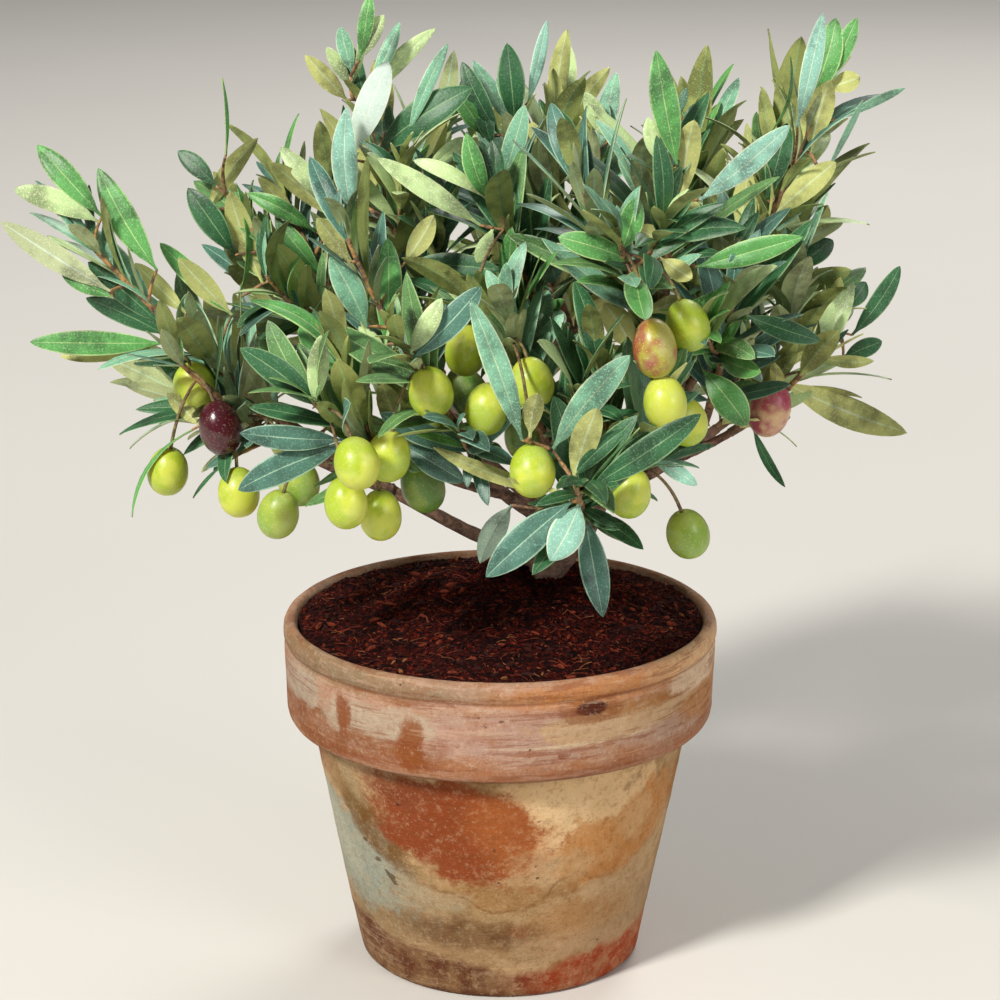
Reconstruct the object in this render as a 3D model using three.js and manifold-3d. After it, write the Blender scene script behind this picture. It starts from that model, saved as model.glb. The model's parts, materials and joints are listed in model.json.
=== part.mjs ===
// A small olive tree in a weathered terracotta pot, at its real size in millimetres.
// +Z is up, +X is to the right of the photographed side and -Y faces it. The origin is the middle
// of the pot's underside, which is flat.
//
// The tree has one leaning trunk. Each mass of foliage grows at the end of one growth line, a curve
// that leaves the trunk or another line and ends at the tip of the mass. The first part of a line is
// bare wood, a bough, and the rest is the stem of the mass. By one seeded rule the stem carries side
// shoots and pairs of leaves, and its olives hang from it at given places.

import * as THREE from "three";
import { mergeVertices } from "three/addons/utils/BufferGeometryUtils.js";
import Module from "manifold-3d";

const wasm = await Module();
wasm.setup();

const { lerp, clamp, degToRad } = THREE.MathUtils;

// Driving dimensions, in millimetres and degrees.

// The gap between two solids that meet.
const CLEARANCE = 0.3;
// Edges shorter than this, where leaf roots cross in a twig, are closed up.
const SHORTEST_EDGE = 0.02;

const POT = {
  height: 147,
  baseRadius: 59,
  footChamfer: 3.5,
  waistRadius: 79.4,
  bandHeight: 42,
  bandLowerRadius: 88.5,
  bandUnderside: 3,
  bandRound: 4,
  rimRadius: 90,
  lip: 2,
  wall: 9,
  floor: 12,
  sides: 36,
};

const SOIL = { edgeDrop: 2, moundRise: 12, seatRadius: 12, moundRings: 2 };

const TRUNK = {
  foot: { x: 18, y: 22 },
  bend: { x: 42, y: 12, rise: 22 },
  top: { x: 47, y: 2, rise: 62 },
  footRadius: 6.2,
  topRadius: 3.4,
  flare: 3.2,
  flareHeight: 14,
  sides: 9,
  steps: 7,
};

// The tips of the masses are measured from the heart of the crown.
const HEART = { x: 20, y: 20, z: 184 };

const BOUGH = { rootRadius: 3, tipRadius: 2, sides: 6, steps: 4 };
const LIMB = { rootRadius: 2.1, tipRadius: 1.5, sides: 5, steps: 3 };
// How far along and how far up a growth line is half way: it goes outwards before it rises.
const LINE = { outward: 0.58, upward: 0.34 };

const SHOOT = {
  stemRadius: 2.2,
  sideRadius: 1.2,
  tipRadius: 1.2,
  stemSteps: 3,
  sideSteps: 2,
  nodeSpacing: 15.4,
  // Where the first and the last node stand, in shares of the spacing from the root and the tip.
  stemFirst: 0.4,
  sideFirst: 0.6,
  last: 0.3,
  turnSpread: 0.7,
};

// Every second node of a stem has a side shoot, which is shorter the nearer it is to the tip.
const SIDE = {
  every: 2,
  length: 46,
  shortening: 0.35,
  shortest: 0.85,
  lengthSpread: 0.3,
  angle: 46,
  angleSpread: 20,
  lift: 0.1,
  outward: 0.9,
  upward: 0.3,
};

const LEAF = {
  length: 51,
  width: 13.5,
  keel: 1.3,
  widestAt: 0.46,
  rootSunk: 0.3,
  bend: 0.07,
  rootAngle: 64,
  tipAngle: 24,
  angleSpread: 24,
  turnSpread: 0.8,
  lift: 0.2,
  faceLift: 0.35,
  faceSpread: 0.8,
};

// A leaf's share of the full length: it swells towards the middle of the shoot and varies by chance.
const LEAF_SIZE = { least: 0.6, swell: 0.46, phase: 0.15, span: 0.75, spread: 0.24 };

// An olive hangs from the point of its mass's stem nearest to a spot this far above its middle.
const OLIVE = {
  radius: 8.8,
  halfLength: 11.2,
  hangsFrom: 30,
  lastHold: 0.97,
  holds: 40,
  stalkRadius: 0.8,
  stalkSunk: 3,
};

// No foliage hangs below this height, and none strays further than this from its own stem.
const SKIRT = 186;
const SPREAD = 66;

// How often a leaf or a side shoot is tried at a node before it is left out.
const TRIES = 4;
// Each shoot's nodes are numbered from this many times the shoot's own number.
const NODE_NUMBERS = 50;

// Each mass: the line it grows from ("trunk" or another mass's line) and how far along it, the
// direction and distance of its tip from the heart of the crown, the share of its line that is bare
// wood, and the seed of its rule. Azimuth 0 is +X and 270 faces the viewer.
const MASSES = {
  far_left: { from: "trunk", at: 0.06, azimuth: 189, rise: 33, reach: 221, bare: 0.54, seed: 11 },
  left_up: { from: "trunk", at: 0.32, azimuth: 182, rise: 46, reach: 183, bare: 0.5, seed: 12 },
  front_left: { from: "trunk", at: 0.42, azimuth: 243, rise: 39, reach: 172, bare: 0.5, seed: 13 },
  back: { from: "trunk", at: 0.46, azimuth: 97, rise: 27, reach: 150, bare: 0.5, seed: 14 },
  front: { from: "trunk", at: 0.54, azimuth: 273, rise: 20, reach: 158, bare: 0.5, seed: 15 },
  right: { from: "trunk", at: 0.64, azimuth: 0, rise: 35, reach: 135, bare: 0.48, seed: 16 },
  back_right: { from: "trunk", at: 0.76, azimuth: 47, rise: 30, reach: 160, bare: 0.5, seed: 17 },
  tall_right: { from: "trunk", at: 0.9, azimuth: 5, rise: 57, reach: 197, bare: 0.5, seed: 18 },
  leader: { from: "trunk", at: 1, azimuth: 115, rise: 78, reach: 163, bare: 0.48, seed: 19 },
  low_left: { from: "far_left", at: 0.32, azimuth: 199, rise: 27, reach: 177, bare: 0.45, seed: 41 },
  low_back_left: { from: "far_left", at: 0.38, azimuth: 165, rise: 14, reach: 165, bare: 0.45, seed: 21 },
  back_left: { from: "left_up", at: 0.34, azimuth: 160, rise: 47, reach: 172, bare: 0.42, seed: 22 },
  tall_left: { from: "left_up", at: 0.24, azimuth: 188, rise: 67, reach: 191, bare: 0.45, seed: 23 },
  high_back_left: { from: "tall_left", at: 0.36, azimuth: 131, rise: 50, reach: 168, bare: 0.4, seed: 24 },
  left_front: { from: "front_left", at: 0.24, azimuth: 230, rise: 28, reach: 158, bare: 0.4, seed: 25 },
  mid_left: { from: "front_left", at: 0.36, azimuth: 222, rise: 51, reach: 167, bare: 0.4, seed: 26 },
  inner_front: { from: "front", at: 0.2, azimuth: 259, rise: 48, reach: 133, bare: 0.38, seed: 27 },
  right_front: { from: "front", at: 0.34, azimuth: 290, rise: 33, reach: 139, bare: 0.35, seed: 28 },
  low_right: { from: "right", at: 0.3, azimuth: 341, rise: 33, reach: 129, bare: 0.4, seed: 29 },
  side_right: { from: "right", at: 0.4, azimuth: 311, rise: 47, reach: 155, bare: 0.35, seed: 30 },
  crown_right: { from: "tall_right", at: 0.2, azimuth: 303, rise: 62, reach: 176, bare: 0.42, seed: 31 },
  high_right: { from: "tall_right", at: 0.36, azimuth: 18, rise: 47, reach: 162, bare: 0.4, seed: 32 },
  centre_right: { from: "crown_right", at: 0.36, azimuth: 283, rise: 52, reach: 173, bare: 0.38, seed: 33 },
  crown_centre: { from: "leader", at: 0.16, azimuth: 248, rise: 68, reach: 155, bare: 0.4, seed: 34 },
  crown_back: { from: "leader", at: 0.36, azimuth: 44, rise: 79, reach: 151, bare: 0.38, seed: 35 },
  high_back: { from: "back", at: 0.34, azimuth: 103, rise: 52, reach: 165, bare: 0.4, seed: 36 },
  low_back_right: { from: "back_right", at: 0.3, azimuth: 70, rise: 13, reach: 145, bare: 0.4, seed: 37 },
  high_back_right: { from: "back_right", at: 0.42, azimuth: 52, rise: 52, reach: 172, bare: 0.4, seed: 38 },
};

// The middles of the olives that hang in each mass: to the right of the pot's axis, behind it and up.
const OLIVES = {
  low_left: [[-122, -15, 247], [-110, -35, 235], [-133, -20, 213], [-103, -40, 210], [-79, -45, 216]],
  left_front: [[-86, -60, 207], [-53, -105, 240], [-58, -92, 221], [-46, -68, 209], [-30, -58, 218]],
  front_left: [[-26, -85, 262], [-42, -84, 237]],
  mid_left: [[-29, -55, 244], [-13, -34, 249]],
  crown_centre: [[-13, -55, 271]],
  inner_front: [[-5, -75, 253], [12, -75, 263], [10, -38, 233], [12, -108, 238]],
  centre_right: [[57, -98, 282], [70, -82, 287], [61, -100, 262]],
  right_front: [[49, -85, 223], [70, -78, 249], [73, -60, 199]],
  low_right: [[108, -15, 237]],
  low_back_left: [[-90, 55, 205], [-112, 60, 208]],
  back_right: [[98, 88, 225]],
  low_back_right: [[62, 120, 196]],
};

// Plain colours for the four finishes.

const FINISH = {
  terracotta: { color: 0xc07a52, roughness: 0.85, metalness: 0 },
  soil: { color: 0x3d1f14, roughness: 1, metalness: 0 },
  bark: { color: 0x7d6a5c, roughness: 0.9, metalness: 0 },
  leaves: { color: 0x5e7f62, roughness: 0.55, metalness: 0 },
};

const materials = Object.fromEntries(
  Object.entries(FINISH).map(([name, look]) => [name, new THREE.MeshStandardMaterial(look)]),
);

const UP = new THREE.Vector3(0, 0, 1);

/** A repeatable stream of numbers from 0 to 1. */
function stream(seed) {
  let state = seed | 0;
  return () => {
    state = (state + 0x6d2b79f5) | 0;
    let mixed = Math.imul(state ^ (state >>> 15), 1 | state);
    mixed = (mixed + Math.imul(mixed ^ (mixed >>> 7), 61 | mixed)) ^ mixed;
    return ((mixed ^ (mixed >>> 14)) >>> 0) / 2 ** 32;
  };
}

/** A number by chance, within half a spread of zero. */
function scatter(random, spread) {
  return (random() - 0.5) * spread;
}

/** The unit vector at an azimuth and a rise above the horizon, in degrees. */
function heading(azimuth, rise) {
  const a = degToRad(azimuth);
  const r = degToRad(rise);
  return new THREE.Vector3(Math.cos(a) * Math.cos(r), Math.sin(a) * Math.cos(r), Math.sin(r));
}

/** A unit vector square to a direction, as level as it can be. */
function levelSide(direction) {
  const side = new THREE.Vector3().crossVectors(direction, UP);
  return side.lengthSq() > 1e-4 ? side.normalize() : new THREE.Vector3(1, 0, 0);
}

// Solids

/** A profile of radii and heights turned round the pot's axis, as a solid. shape may move its corners. */
function turned(profile, shape = () => {}) {
  const lathe = new THREE.LatheGeometry(profile.map((p) => new THREE.Vector2(...p)), POT.sides);
  lathe.rotateX(Math.PI / 2);
  shape(lathe.attributes.position);
  return solidOf(lathe);
}

/** A three.js geometry as a closed solid, with shared corners merged and collapsed faces left out. */
function solidOf(geometry) {
  geometry.deleteAttribute("normal");
  geometry.deleteAttribute("uv");
  const merged = mergeVertices(geometry);
  const corners = [];
  for (let i = 0; i < merged.index.count; i += 3) {
    const [a, b, c] = [0, 1, 2].map((k) => merged.index.getX(i + k));
    if (a !== b && b !== c && c !== a) corners.push(a, b, c);
  }
  const mesh = new wasm.Mesh({
    numProp: 3,
    vertProperties: merged.attributes.position.array,
    triVerts: new Uint32Array(corners),
  });
  return new wasm.Manifold(mesh);
}

/** A solid as a named mesh of the model. */
function meshOf(name, solid, material) {
  const { numProp, vertProperties, triVerts } = solid.getMesh();
  const position = new Float32Array((vertProperties.length / numProp) * 3);
  for (let v = 0; v * 3 < position.length; v++) {
    position.set(vertProperties.subarray(v * numProp, v * numProp + 3), v * 3);
  }
  const geometry = new THREE.BufferGeometry()
    .setAttribute("position", new THREE.BufferAttribute(position, 3))
    .setIndex(new THREE.BufferAttribute(triVerts, 1));
  const mesh = new THREE.Mesh(geometry, material);
  mesh.name = name;
  return mesh;
}

/**
 * A closed tube of a few sides along a path. place(t) gives its middle and its direction, section(t)
 * its half-width and half-depth, and across the direction of its width, which is level if left out.
 */
function sweep({ place, section, sides, steps, across }) {
  const tube = new THREE.CylinderGeometry(1, 1, 1, sides, steps);
  const { position } = tube.attributes;
  for (let i = 0; i < position.count; i++) {
    const t = position.getY(i) + 0.5;
    const { point, direction } = place(t);
    const width = across ?? levelSide(direction);
    const depth = new THREE.Vector3().crossVectors(width, direction);
    const [halfWidth, halfDepth] = section(t);
    const corner = point
      .clone()
      .addScaledVector(width, position.getX(i) * halfWidth)
      .addScaledVector(depth, position.getZ(i) * halfDepth);
    position.setXYZ(i, corner.x, corner.y, corner.z);
  }
  return tube;
}

/** The stretch of a curve from one share of it to another, as sweep's place. */
function along(curve, from = 0, to = 1) {
  return (t) => {
    const share = lerp(from, to, t);
    return { point: curve.getPoint(share), direction: curve.getTangent(share) };
  };
}

/** A round section that tapers evenly from its root to its tip. */
function taper(rootRadius, tipRadius) {
  return (t) => Array(2).fill(lerp(rootRadius, tipRadius, t));
}

// The pot and its soil

const BAND_FOOT = POT.height - POT.bandHeight;
const INNER_FOOT_RADIUS = lerp(POT.baseRadius, POT.waistRadius, POT.floor / BAND_FOOT) - POT.wall;

/** The pot: a tapered bowl with a thick rolled band round its rim, open at the top. */
function makePot() {
  const { height, baseRadius, footChamfer, waistRadius, bandLowerRadius, rimRadius, lip, wall } = POT;
  const profile = [
    [0, 0],
    [baseRadius - footChamfer, 0],
    [baseRadius, footChamfer],
    [waistRadius, BAND_FOOT],
    [bandLowerRadius - POT.bandUnderside, BAND_FOOT],
    [bandLowerRadius, BAND_FOOT + POT.bandRound],
    [rimRadius, height - 3 * lip],
    [rimRadius - lip, height - lip],
    [rimRadius - 2 * lip, height],
    [rimRadius - wall + lip, height],
    [rimRadius - wall, height - lip],
    [INNER_FOOT_RADIUS, POT.floor],
    [0, POT.floor],
  ];
  return turned(profile);
}

/** The inner radius of the pot's wall at a height. */
function innerRadius(z) {
  const share = (z - POT.floor) / (POT.height - POT.lip - POT.floor);
  return lerp(INNER_FOOT_RADIUS, POT.rimRadius - POT.wall, share);
}

const SOIL_TOP = POT.height - SOIL.edgeDrop + SOIL.moundRise;

/** The soil: it fills the pot, and its mound has a flat seat where the trunk stands. */
function makeSoil() {
  const edgeHeight = POT.height - SOIL.edgeDrop;
  const edgeRadius = innerRadius(edgeHeight) - CLEARANCE;
  const foot = POT.floor + CLEARANCE;
  const profile = [[0, foot], [innerRadius(foot) - CLEARANCE, foot], [edgeRadius, edgeHeight]];
  for (let ring = SOIL.moundRings; ring >= 0; ring--) {
    const share = ring / (SOIL.moundRings + 1);
    const radius = lerp(SOIL.seatRadius, edgeRadius, share);
    const rise = SOIL.moundRise * (0.5 + 0.5 * Math.cos(Math.PI * share));
    profile.push([radius, edgeHeight + rise]);
  }
  profile.push([0, SOIL_TOP]);
  // The rings of the mound move over until the innermost one is round the trunk.
  return turned(profile, (position) => {
    for (let i = 0; i < position.count; i++) {
      const [x, y, z] = [position.getX(i), position.getY(i), position.getZ(i)];
      if (z <= edgeHeight) continue;
      const share = (Math.hypot(x, y) - SOIL.seatRadius) / (edgeRadius - SOIL.seatRadius);
      const inward = 1 - clamp(share, 0, 1);
      position.setXYZ(i, x + TRUNK.foot.x * inward, y + TRUNK.foot.y * inward, z);
    }
  });
}

// The trunk and the boughs

const TRUNK_LINE = new THREE.QuadraticBezierCurve3(
  new THREE.Vector3(TRUNK.foot.x, TRUNK.foot.y, SOIL_TOP + CLEARANCE),
  new THREE.Vector3(TRUNK.bend.x, TRUNK.bend.y, SOIL_TOP + TRUNK.bend.rise),
  new THREE.Vector3(TRUNK.top.x, TRUNK.top.y, SOIL_TOP + TRUNK.top.rise),
);

/** The trunk: it leans and tapers, flares at its foot and has a flat cut where it meets the soil. */
function makeTrunk(swell = 0) {
  const section = (t) => {
    const height = t * TRUNK.top.rise;
    const flare = TRUNK.flare * Math.max(0, 1 - height / TRUNK.flareHeight) ** 2;
    return Array(2).fill(lerp(TRUNK.footRadius, TRUNK.topRadius, t) + flare + swell);
  };
  const place = (t) => {
    const { point, direction } = along(TRUNK_LINE)(t);
    return { point, direction: t > 0 ? direction : UP };
  };
  const { sides, steps } = TRUNK;
  return solidOf(sweep({ place, section, sides, steps, across: new THREE.Vector3(1, 0, 0) }));
}

/** The growth line of a mass, from where it leaves its parent's line to the tip of the mass. */
function growthLine(mass, parentLine) {
  const start = parentLine.getPoint(mass.at);
  const tip = new THREE.Vector3(HEART.x, HEART.y, HEART.z);
  tip.addScaledVector(heading(mass.azimuth, mass.rise), mass.reach);
  const bend = new THREE.Vector3(
    lerp(start.x, tip.x, LINE.outward),
    lerp(start.y, tip.y, LINE.outward),
    lerp(start.z, tip.z, LINE.upward),
  );
  return new THREE.QuadraticBezierCurve3(start, bend, tip);
}

/** One bough or limb: the bare first part of a growth line, grown by swell where it cuts another. */
function makeBough(mass, line, swell = 0) {
  const size = mass.from === "trunk" ? BOUGH : LIMB;
  const section = taper(size.rootRadius + swell, size.tipRadius + swell);
  return solidOf(sweep({ place: along(line, 0, mass.bare), section, sides: size.sides, steps: size.steps }));
}

// What grows on a mass

/** The share of a growth line at which the stem of its mass starts, just clear of the bough. */
function stemStart(mass, line) {
  return mass.bare + CLEARANCE / line.getLength();
}

/** The direction out of a stem at an angle round it. */
function outOf(direction, angle) {
  const side = levelSide(direction);
  const top = new THREE.Vector3().crossVectors(side, direction);
  return side.multiplyScalar(Math.cos(angle)).addScaledVector(top, Math.sin(angle));
}

/** A direction that leaves a stem at an angle in degrees, lifted towards the light. */
function leaving(direction, out, angle, lift) {
  const a = degToRad(angle);
  return direction
    .clone()
    .multiplyScalar(Math.cos(a))
    .addScaledVector(out, Math.sin(a))
    .addScaledVector(UP, lift)
    .normalize();
}

/** A twig of three sides along a shoot. */
function makeTwig(shoot) {
  const place = along(shoot.curve, shoot.from, 1);
  const section = taper(shoot.radius, SHOOT.tipRadius);
  const steps = shoot.isStem ? SHOOT.stemSteps : SHOOT.sideSteps;
  return solidOf(sweep({ place, section, sides: 3, steps }));
}

/** A leaf: flat above with a keel below, widest near half way, its pointed root sunk in the twig. */
function makeLeaf({ root, direction, face, length }) {
  const across = new THREE.Vector3().crossVectors(direction, face);
  const corner = (forward, sideways, up) => [
    root.x + direction.x * forward + across.x * sideways + face.x * up,
    root.y + direction.y * forward + across.y * sideways + face.y * up,
    root.z + direction.z * forward + across.z * sideways + face.z * up,
  ];
  const halfWidth = (length * (LEAF.width / LEAF.length)) / 2;
  const widest = length * LEAF.widestAt;
  const raised = LEAF.bend * length;
  return wasm.Manifold.hull([
    corner(-LEAF.rootSunk, 0, 0),
    corner(widest, -halfWidth, raised),
    corner(widest, halfWidth, raised),
    corner(widest, 0, raised - LEAF.keel),
    corner(length, 0, 0),
  ]);
}

/** The point of a stem nearest to a spot. */
function nearestOn({ curve, from }, spot) {
  const share = (i) => lerp(from, OLIVE.lastHold, i / OLIVE.holds);
  const points = Array.from({ length: OLIVE.holds + 1 }, (_, i) => curve.getPoint(share(i)));
  return points.sort((a, b) => a.distanceTo(spot) - b.distanceTo(spot))[0];
}

/** An olive and the straight stalk by which it hangs from a stem. */
function makeOlive(stem, middle) {
  const centre = new THREE.Vector3(...middle);
  const root = nearestOn(stem, centre.clone().addScaledVector(UP, OLIVE.hangsFrom));
  const up = root.clone().sub(centre).normalize();
  const sphere = new THREE.SphereGeometry(1, 8, 4).scale(OLIVE.radius, OLIVE.halfLength, OLIVE.radius);
  sphere.applyQuaternion(new THREE.Quaternion().setFromUnitVectors(new THREE.Vector3(0, 1, 0), up));
  const ball = solidOf(sphere.translate(...middle));
  const end = centre.clone().addScaledVector(up, OLIVE.halfLength - OLIVE.stalkSunk);
  const section = taper(OLIVE.stalkRadius, OLIVE.stalkRadius);
  const stalk = sweep({ place: along(new THREE.LineCurve3(root, end)), section, sides: 3, steps: 1 });
  return { ...boxed(ball.add(solidOf(stalk))), ball: boxed(ball) };
}

/** The place and size of a leaf at a node, by chance. Leaves lean towards the tip of the shoot. */
function leafAt({ point, direction }, turn, share, random) {
  const angle = lerp(LEAF.rootAngle, LEAF.tipAngle, share) + scatter(random, LEAF.angleSpread);
  const swell = LEAF_SIZE.swell * Math.sin(Math.PI * (LEAF_SIZE.phase + LEAF_SIZE.span * share));
  const size = LEAF_SIZE.least + swell + scatter(random, LEAF_SIZE.spread);
  const out = outOf(direction, turn + scatter(random, LEAF.turnSpread));
  const away = leaving(direction, out, angle, LEAF.lift);
  const face = direction.clone().addScaledVector(UP, LEAF.faceLift + scatter(random, LEAF.faceSpread));
  face.addScaledVector(away, -face.dot(away)).normalize();
  return { root: point, direction: away, face, length: LEAF.length * size };
}

/** A side shoot that leaves a stem at a node and curves up. */
function sideShoot({ point, direction }, turn, share, random) {
  const out = outOf(direction, turn + (random() < 0.5 ? 0 : Math.PI) + Math.PI / 4);
  const size = (1 - SIDE.shortening * share) * (SIDE.shortest + SIDE.lengthSpread * random());
  const length = SIDE.length * size;
  const away = leaving(direction, out, SIDE.angle + scatter(random, SIDE.angleSpread), SIDE.lift);
  const bend = point.clone().addScaledVector(away, length / 2);
  const tip = point.clone().addScaledVector(away, length * SIDE.outward);
  tip.addScaledVector(UP, length * SIDE.upward);
  const curve = new THREE.QuadraticBezierCurve3(point, bend, tip);
  return { curve, from: 0, radius: SHOOT.sideRadius, isStem: false };
}

/** A solid with the box round it, which spares most of the distance measurements. */
function boxed(solid) {
  return { solid, box: solid.boundingBox() };
}

/** Whether a solid is clear of every boxed solid of a list. */
function isClear(solid, others) {
  const { min, max } = solid.boundingBox();
  return others.every(({ solid: other, box }) => {
    const isApart = (k) => min[k] > box.max[k] + CLEARANCE || box.min[k] > max[k] + CLEARANCE;
    return [0, 1, 2].some(isApart) || solid.minGap(other, 2 * CLEARANCE) > CLEARANCE;
  });
}

/** One mass as it grows: its stem, the pieces it has to keep clear of, and its own pieces. */
class Mass {
  constructor(stem, olives, others) {
    this.stem = stem;
    this.others = others;
    this.olives = olives;
    this.twigs = [{ ...boxed(stem.solid), twig: stem.seed }];
    this.leaves = [];
  }

  /** Whether a solid is above the skirt and near enough to the stem. */
  isInside(solid) {
    const { min, max } = solid.boundingBox();
    const middle = new THREE.Vector3(...min).add(new THREE.Vector3(...max)).multiplyScalar(0.5);
    const { curve, from } = this.stem;
    const shares = [0, 0.25, 0.5, 0.75, 1].map((t) => lerp(from, 1, t));
    return min[2] > SKIRT && shares.some((share) => curve.getPoint(share).distanceTo(middle) < SPREAD);
  }

  /** The first of a number of tries that finds room at a node of a shoot, if any does. */
  firstFit(shoot, node, attempt) {
    const joined = (piece) => piece.node === node || piece.twig === shoot.seed;
    const own = [...this.twigs, ...this.leaves].filter((piece) => !joined(piece));
    const rivals = [...this.others, ...own, ...this.olives.map(({ ball }) => ball)];
    for (let i = 0; i < TRIES; i++) {
      const found = attempt();
      if (this.isInside(found.solid) && isClear(found.solid, rivals)) return { ...found, node };
    }
    return null;
  }

  /**
   * Grows what a shoot carries: at each node a pair of leaves, set square to the pair before, and on
   * the stem some side shoots. Each node draws its numbers from a stream of its own.
   */
  grow(shoot) {
    const length = shoot.curve.getLength() * (1 - shoot.from);
    const nodes = Math.max(2, Math.round(length / SHOOT.nodeSpacing));
    const firstTurn = stream(shoot.seed)() * Math.PI;
    for (let i = 1; i <= nodes; i++) {
      const node = shoot.seed * NODE_NUMBERS + i;
      const random = stream(node);
      const first = shoot.isStem ? SHOOT.stemFirst : SHOOT.sideFirst;
      const share = (i - 1 + first) / (nodes - SHOOT.last);
      const place = along(shoot.curve, shoot.from, 1)(share);
      const turn = firstTurn + (i * Math.PI) / 2 + scatter(random, SHOOT.turnSpread);
      for (const opposite of [0, Math.PI]) {
        const attempt = () => boxed(makeLeaf(leafAt(place, turn + opposite, share, random)));
        this.leaves.push(...[this.firstFit(shoot, node, attempt)].filter(Boolean));
      }
      if (!shoot.isStem || i === nodes || i % SIDE.every !== 1) continue;
      const side = this.firstFit(shoot, node, () => withTwig(sideShoot(place, turn, share, random)));
      if (!side) continue;
      this.twigs.push({ ...side, twig: node });
      this.grow({ ...side, seed: node });
    }
  }
}

/** A shoot with its twig as a boxed solid. */
function withTwig(shoot) {
  return { ...shoot, ...boxed(makeTwig(shoot)) };
}

/** The biggest piece of a solid, without the loose scraps that a cut or a skipped twig leaves. */
function biggestPiece(solid) {
  return solid.decompose().sort((a, b) => b.volume() - a.volume())[0];
}

// The whole plant

const lines = {};
const boughs = {};
const stems = {};
for (const [name, mass] of Object.entries(MASSES)) {
  const onTrunk = mass.from === "trunk";
  lines[name] = growthLine(mass, onTrunk ? TRUNK_LINE : lines[mass.from]);
  // The root of a bough is cut to the surface of what it grows from.
  const parent = onTrunk ? makeTrunk(CLEARANCE) : makeBough(MASSES[mass.from], lines[mass.from], CLEARANCE);
  boughs[name] = biggestPiece(makeBough(mass, lines[name]).subtract(parent));
  const stem = { curve: lines[name], from: stemStart(mass, lines[name]), radius: SHOOT.stemRadius };
  stems[name] = withTwig({ ...stem, isStem: true, seed: mass.seed });
}
const pot = makePot();
const soil = makeSoil();
const trunk = makeTrunk();

// The wood and the olives have their places first, and the leaves grow where there is room.
const limbs = [trunk, ...Object.values(boughs)].map(boxed);
const olives = {};
for (const name of Object.keys(MASSES)) {
  olives[name] = (OLIVES[name] ?? []).map((middle) => makeOlive(stems[name], middle));
}
const foliage = {};
const settled = [];
for (const name of Object.keys(MASSES)) {
  const others = Object.keys(MASSES).filter((other) => other !== name);
  const fixed = others.flatMap((other) => [stems[other], ...olives[other]]);
  const mass = new Mass(stems[name], olives[name], [...limbs, ...fixed, ...settled]);
  mass.grow(stems[name]);
  const pieces = [...mass.twigs, ...mass.olives, ...mass.leaves].map(({ solid }) => solid);
  foliage[name] = biggestPiece(wasm.Manifold.union(pieces)).simplify(SHORTEST_EDGE);
  settled.push(...mass.leaves, ...mass.twigs);
}

const plant = new THREE.Group();
plant.name = "potted_olive_tree";
plant.add(meshOf("pot", pot, materials.terracotta));
plant.add(meshOf("soil", soil, materials.soil));
plant.add(meshOf("trunk", trunk, materials.bark));
for (const name of Object.keys(MASSES)) {
  plant.add(meshOf(`${name}_bough`, boughs[name], materials.bark));
  plant.add(meshOf(`${name}_foliage`, foliage[name], materials.leaves));
}

export default plant;
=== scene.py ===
"""A small olive tree in a weathered terracotta pot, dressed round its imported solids.

Sizes are millimetres until a mesh is made. +Z is up, +X is to the right of the photographed side
and -Y faces it. The wood, shoots and leaves grow by the same seeded rule as the solids.
"""

import json
import logging
import math
from collections.abc import Callable, Iterable, Sequence
from dataclasses import dataclass, field
from enum import Enum
from typing import Any, NamedTuple

import bpy
import numpy as np
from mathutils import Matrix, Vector, noise
from mathutils.bvhtree import BVHTree

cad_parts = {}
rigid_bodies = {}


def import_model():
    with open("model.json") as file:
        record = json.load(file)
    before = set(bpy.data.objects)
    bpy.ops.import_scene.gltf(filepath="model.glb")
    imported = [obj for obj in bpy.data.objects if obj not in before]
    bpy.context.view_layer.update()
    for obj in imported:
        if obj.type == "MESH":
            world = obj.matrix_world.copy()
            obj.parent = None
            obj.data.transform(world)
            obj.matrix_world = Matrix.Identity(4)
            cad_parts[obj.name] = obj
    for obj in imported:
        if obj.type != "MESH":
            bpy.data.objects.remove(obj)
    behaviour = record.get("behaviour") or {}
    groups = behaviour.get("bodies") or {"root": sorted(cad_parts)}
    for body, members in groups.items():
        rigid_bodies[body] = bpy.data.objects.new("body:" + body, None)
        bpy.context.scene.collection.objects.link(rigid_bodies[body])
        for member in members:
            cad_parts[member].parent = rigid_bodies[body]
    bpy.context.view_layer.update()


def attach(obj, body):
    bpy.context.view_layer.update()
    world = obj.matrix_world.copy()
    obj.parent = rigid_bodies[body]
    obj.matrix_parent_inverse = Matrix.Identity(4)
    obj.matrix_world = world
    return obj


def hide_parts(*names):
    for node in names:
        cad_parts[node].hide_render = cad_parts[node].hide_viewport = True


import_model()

LOG = logging.getLogger("olive")
MM = 0.001
UP = Vector((0, 0, 1))
ROOT = "root"
WORD = 0xFFFFFFFF

Colour = tuple[float, float, float, float]


def paint(code: int) -> Colour:
    """A colour as the shaders take it.

    Args:
        code: the colour as six hexadecimal digits of red, green and blue.

    Returns:
        Its linear red, green and blue, and 1.
    """
    parts = [(code >> shift & 255) / 255 for shift in (16, 8, 0)]
    linear = [c / 12.92 if c <= 0.04045 else ((c + 0.055) / 1.055) ** 2.4 for c in parts]
    return (*linear, 1.0)


def dimmed(colour: Colour, share: float) -> Colour:
    """A colour made darker, its opacity kept."""
    return (*(part * share for part in colour[:3]), colour[3])


def blend(a: float, b: float, share: float) -> float:
    """The value a share of the way from a to b."""
    return a + (b - a) * share


# Shaders


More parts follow.
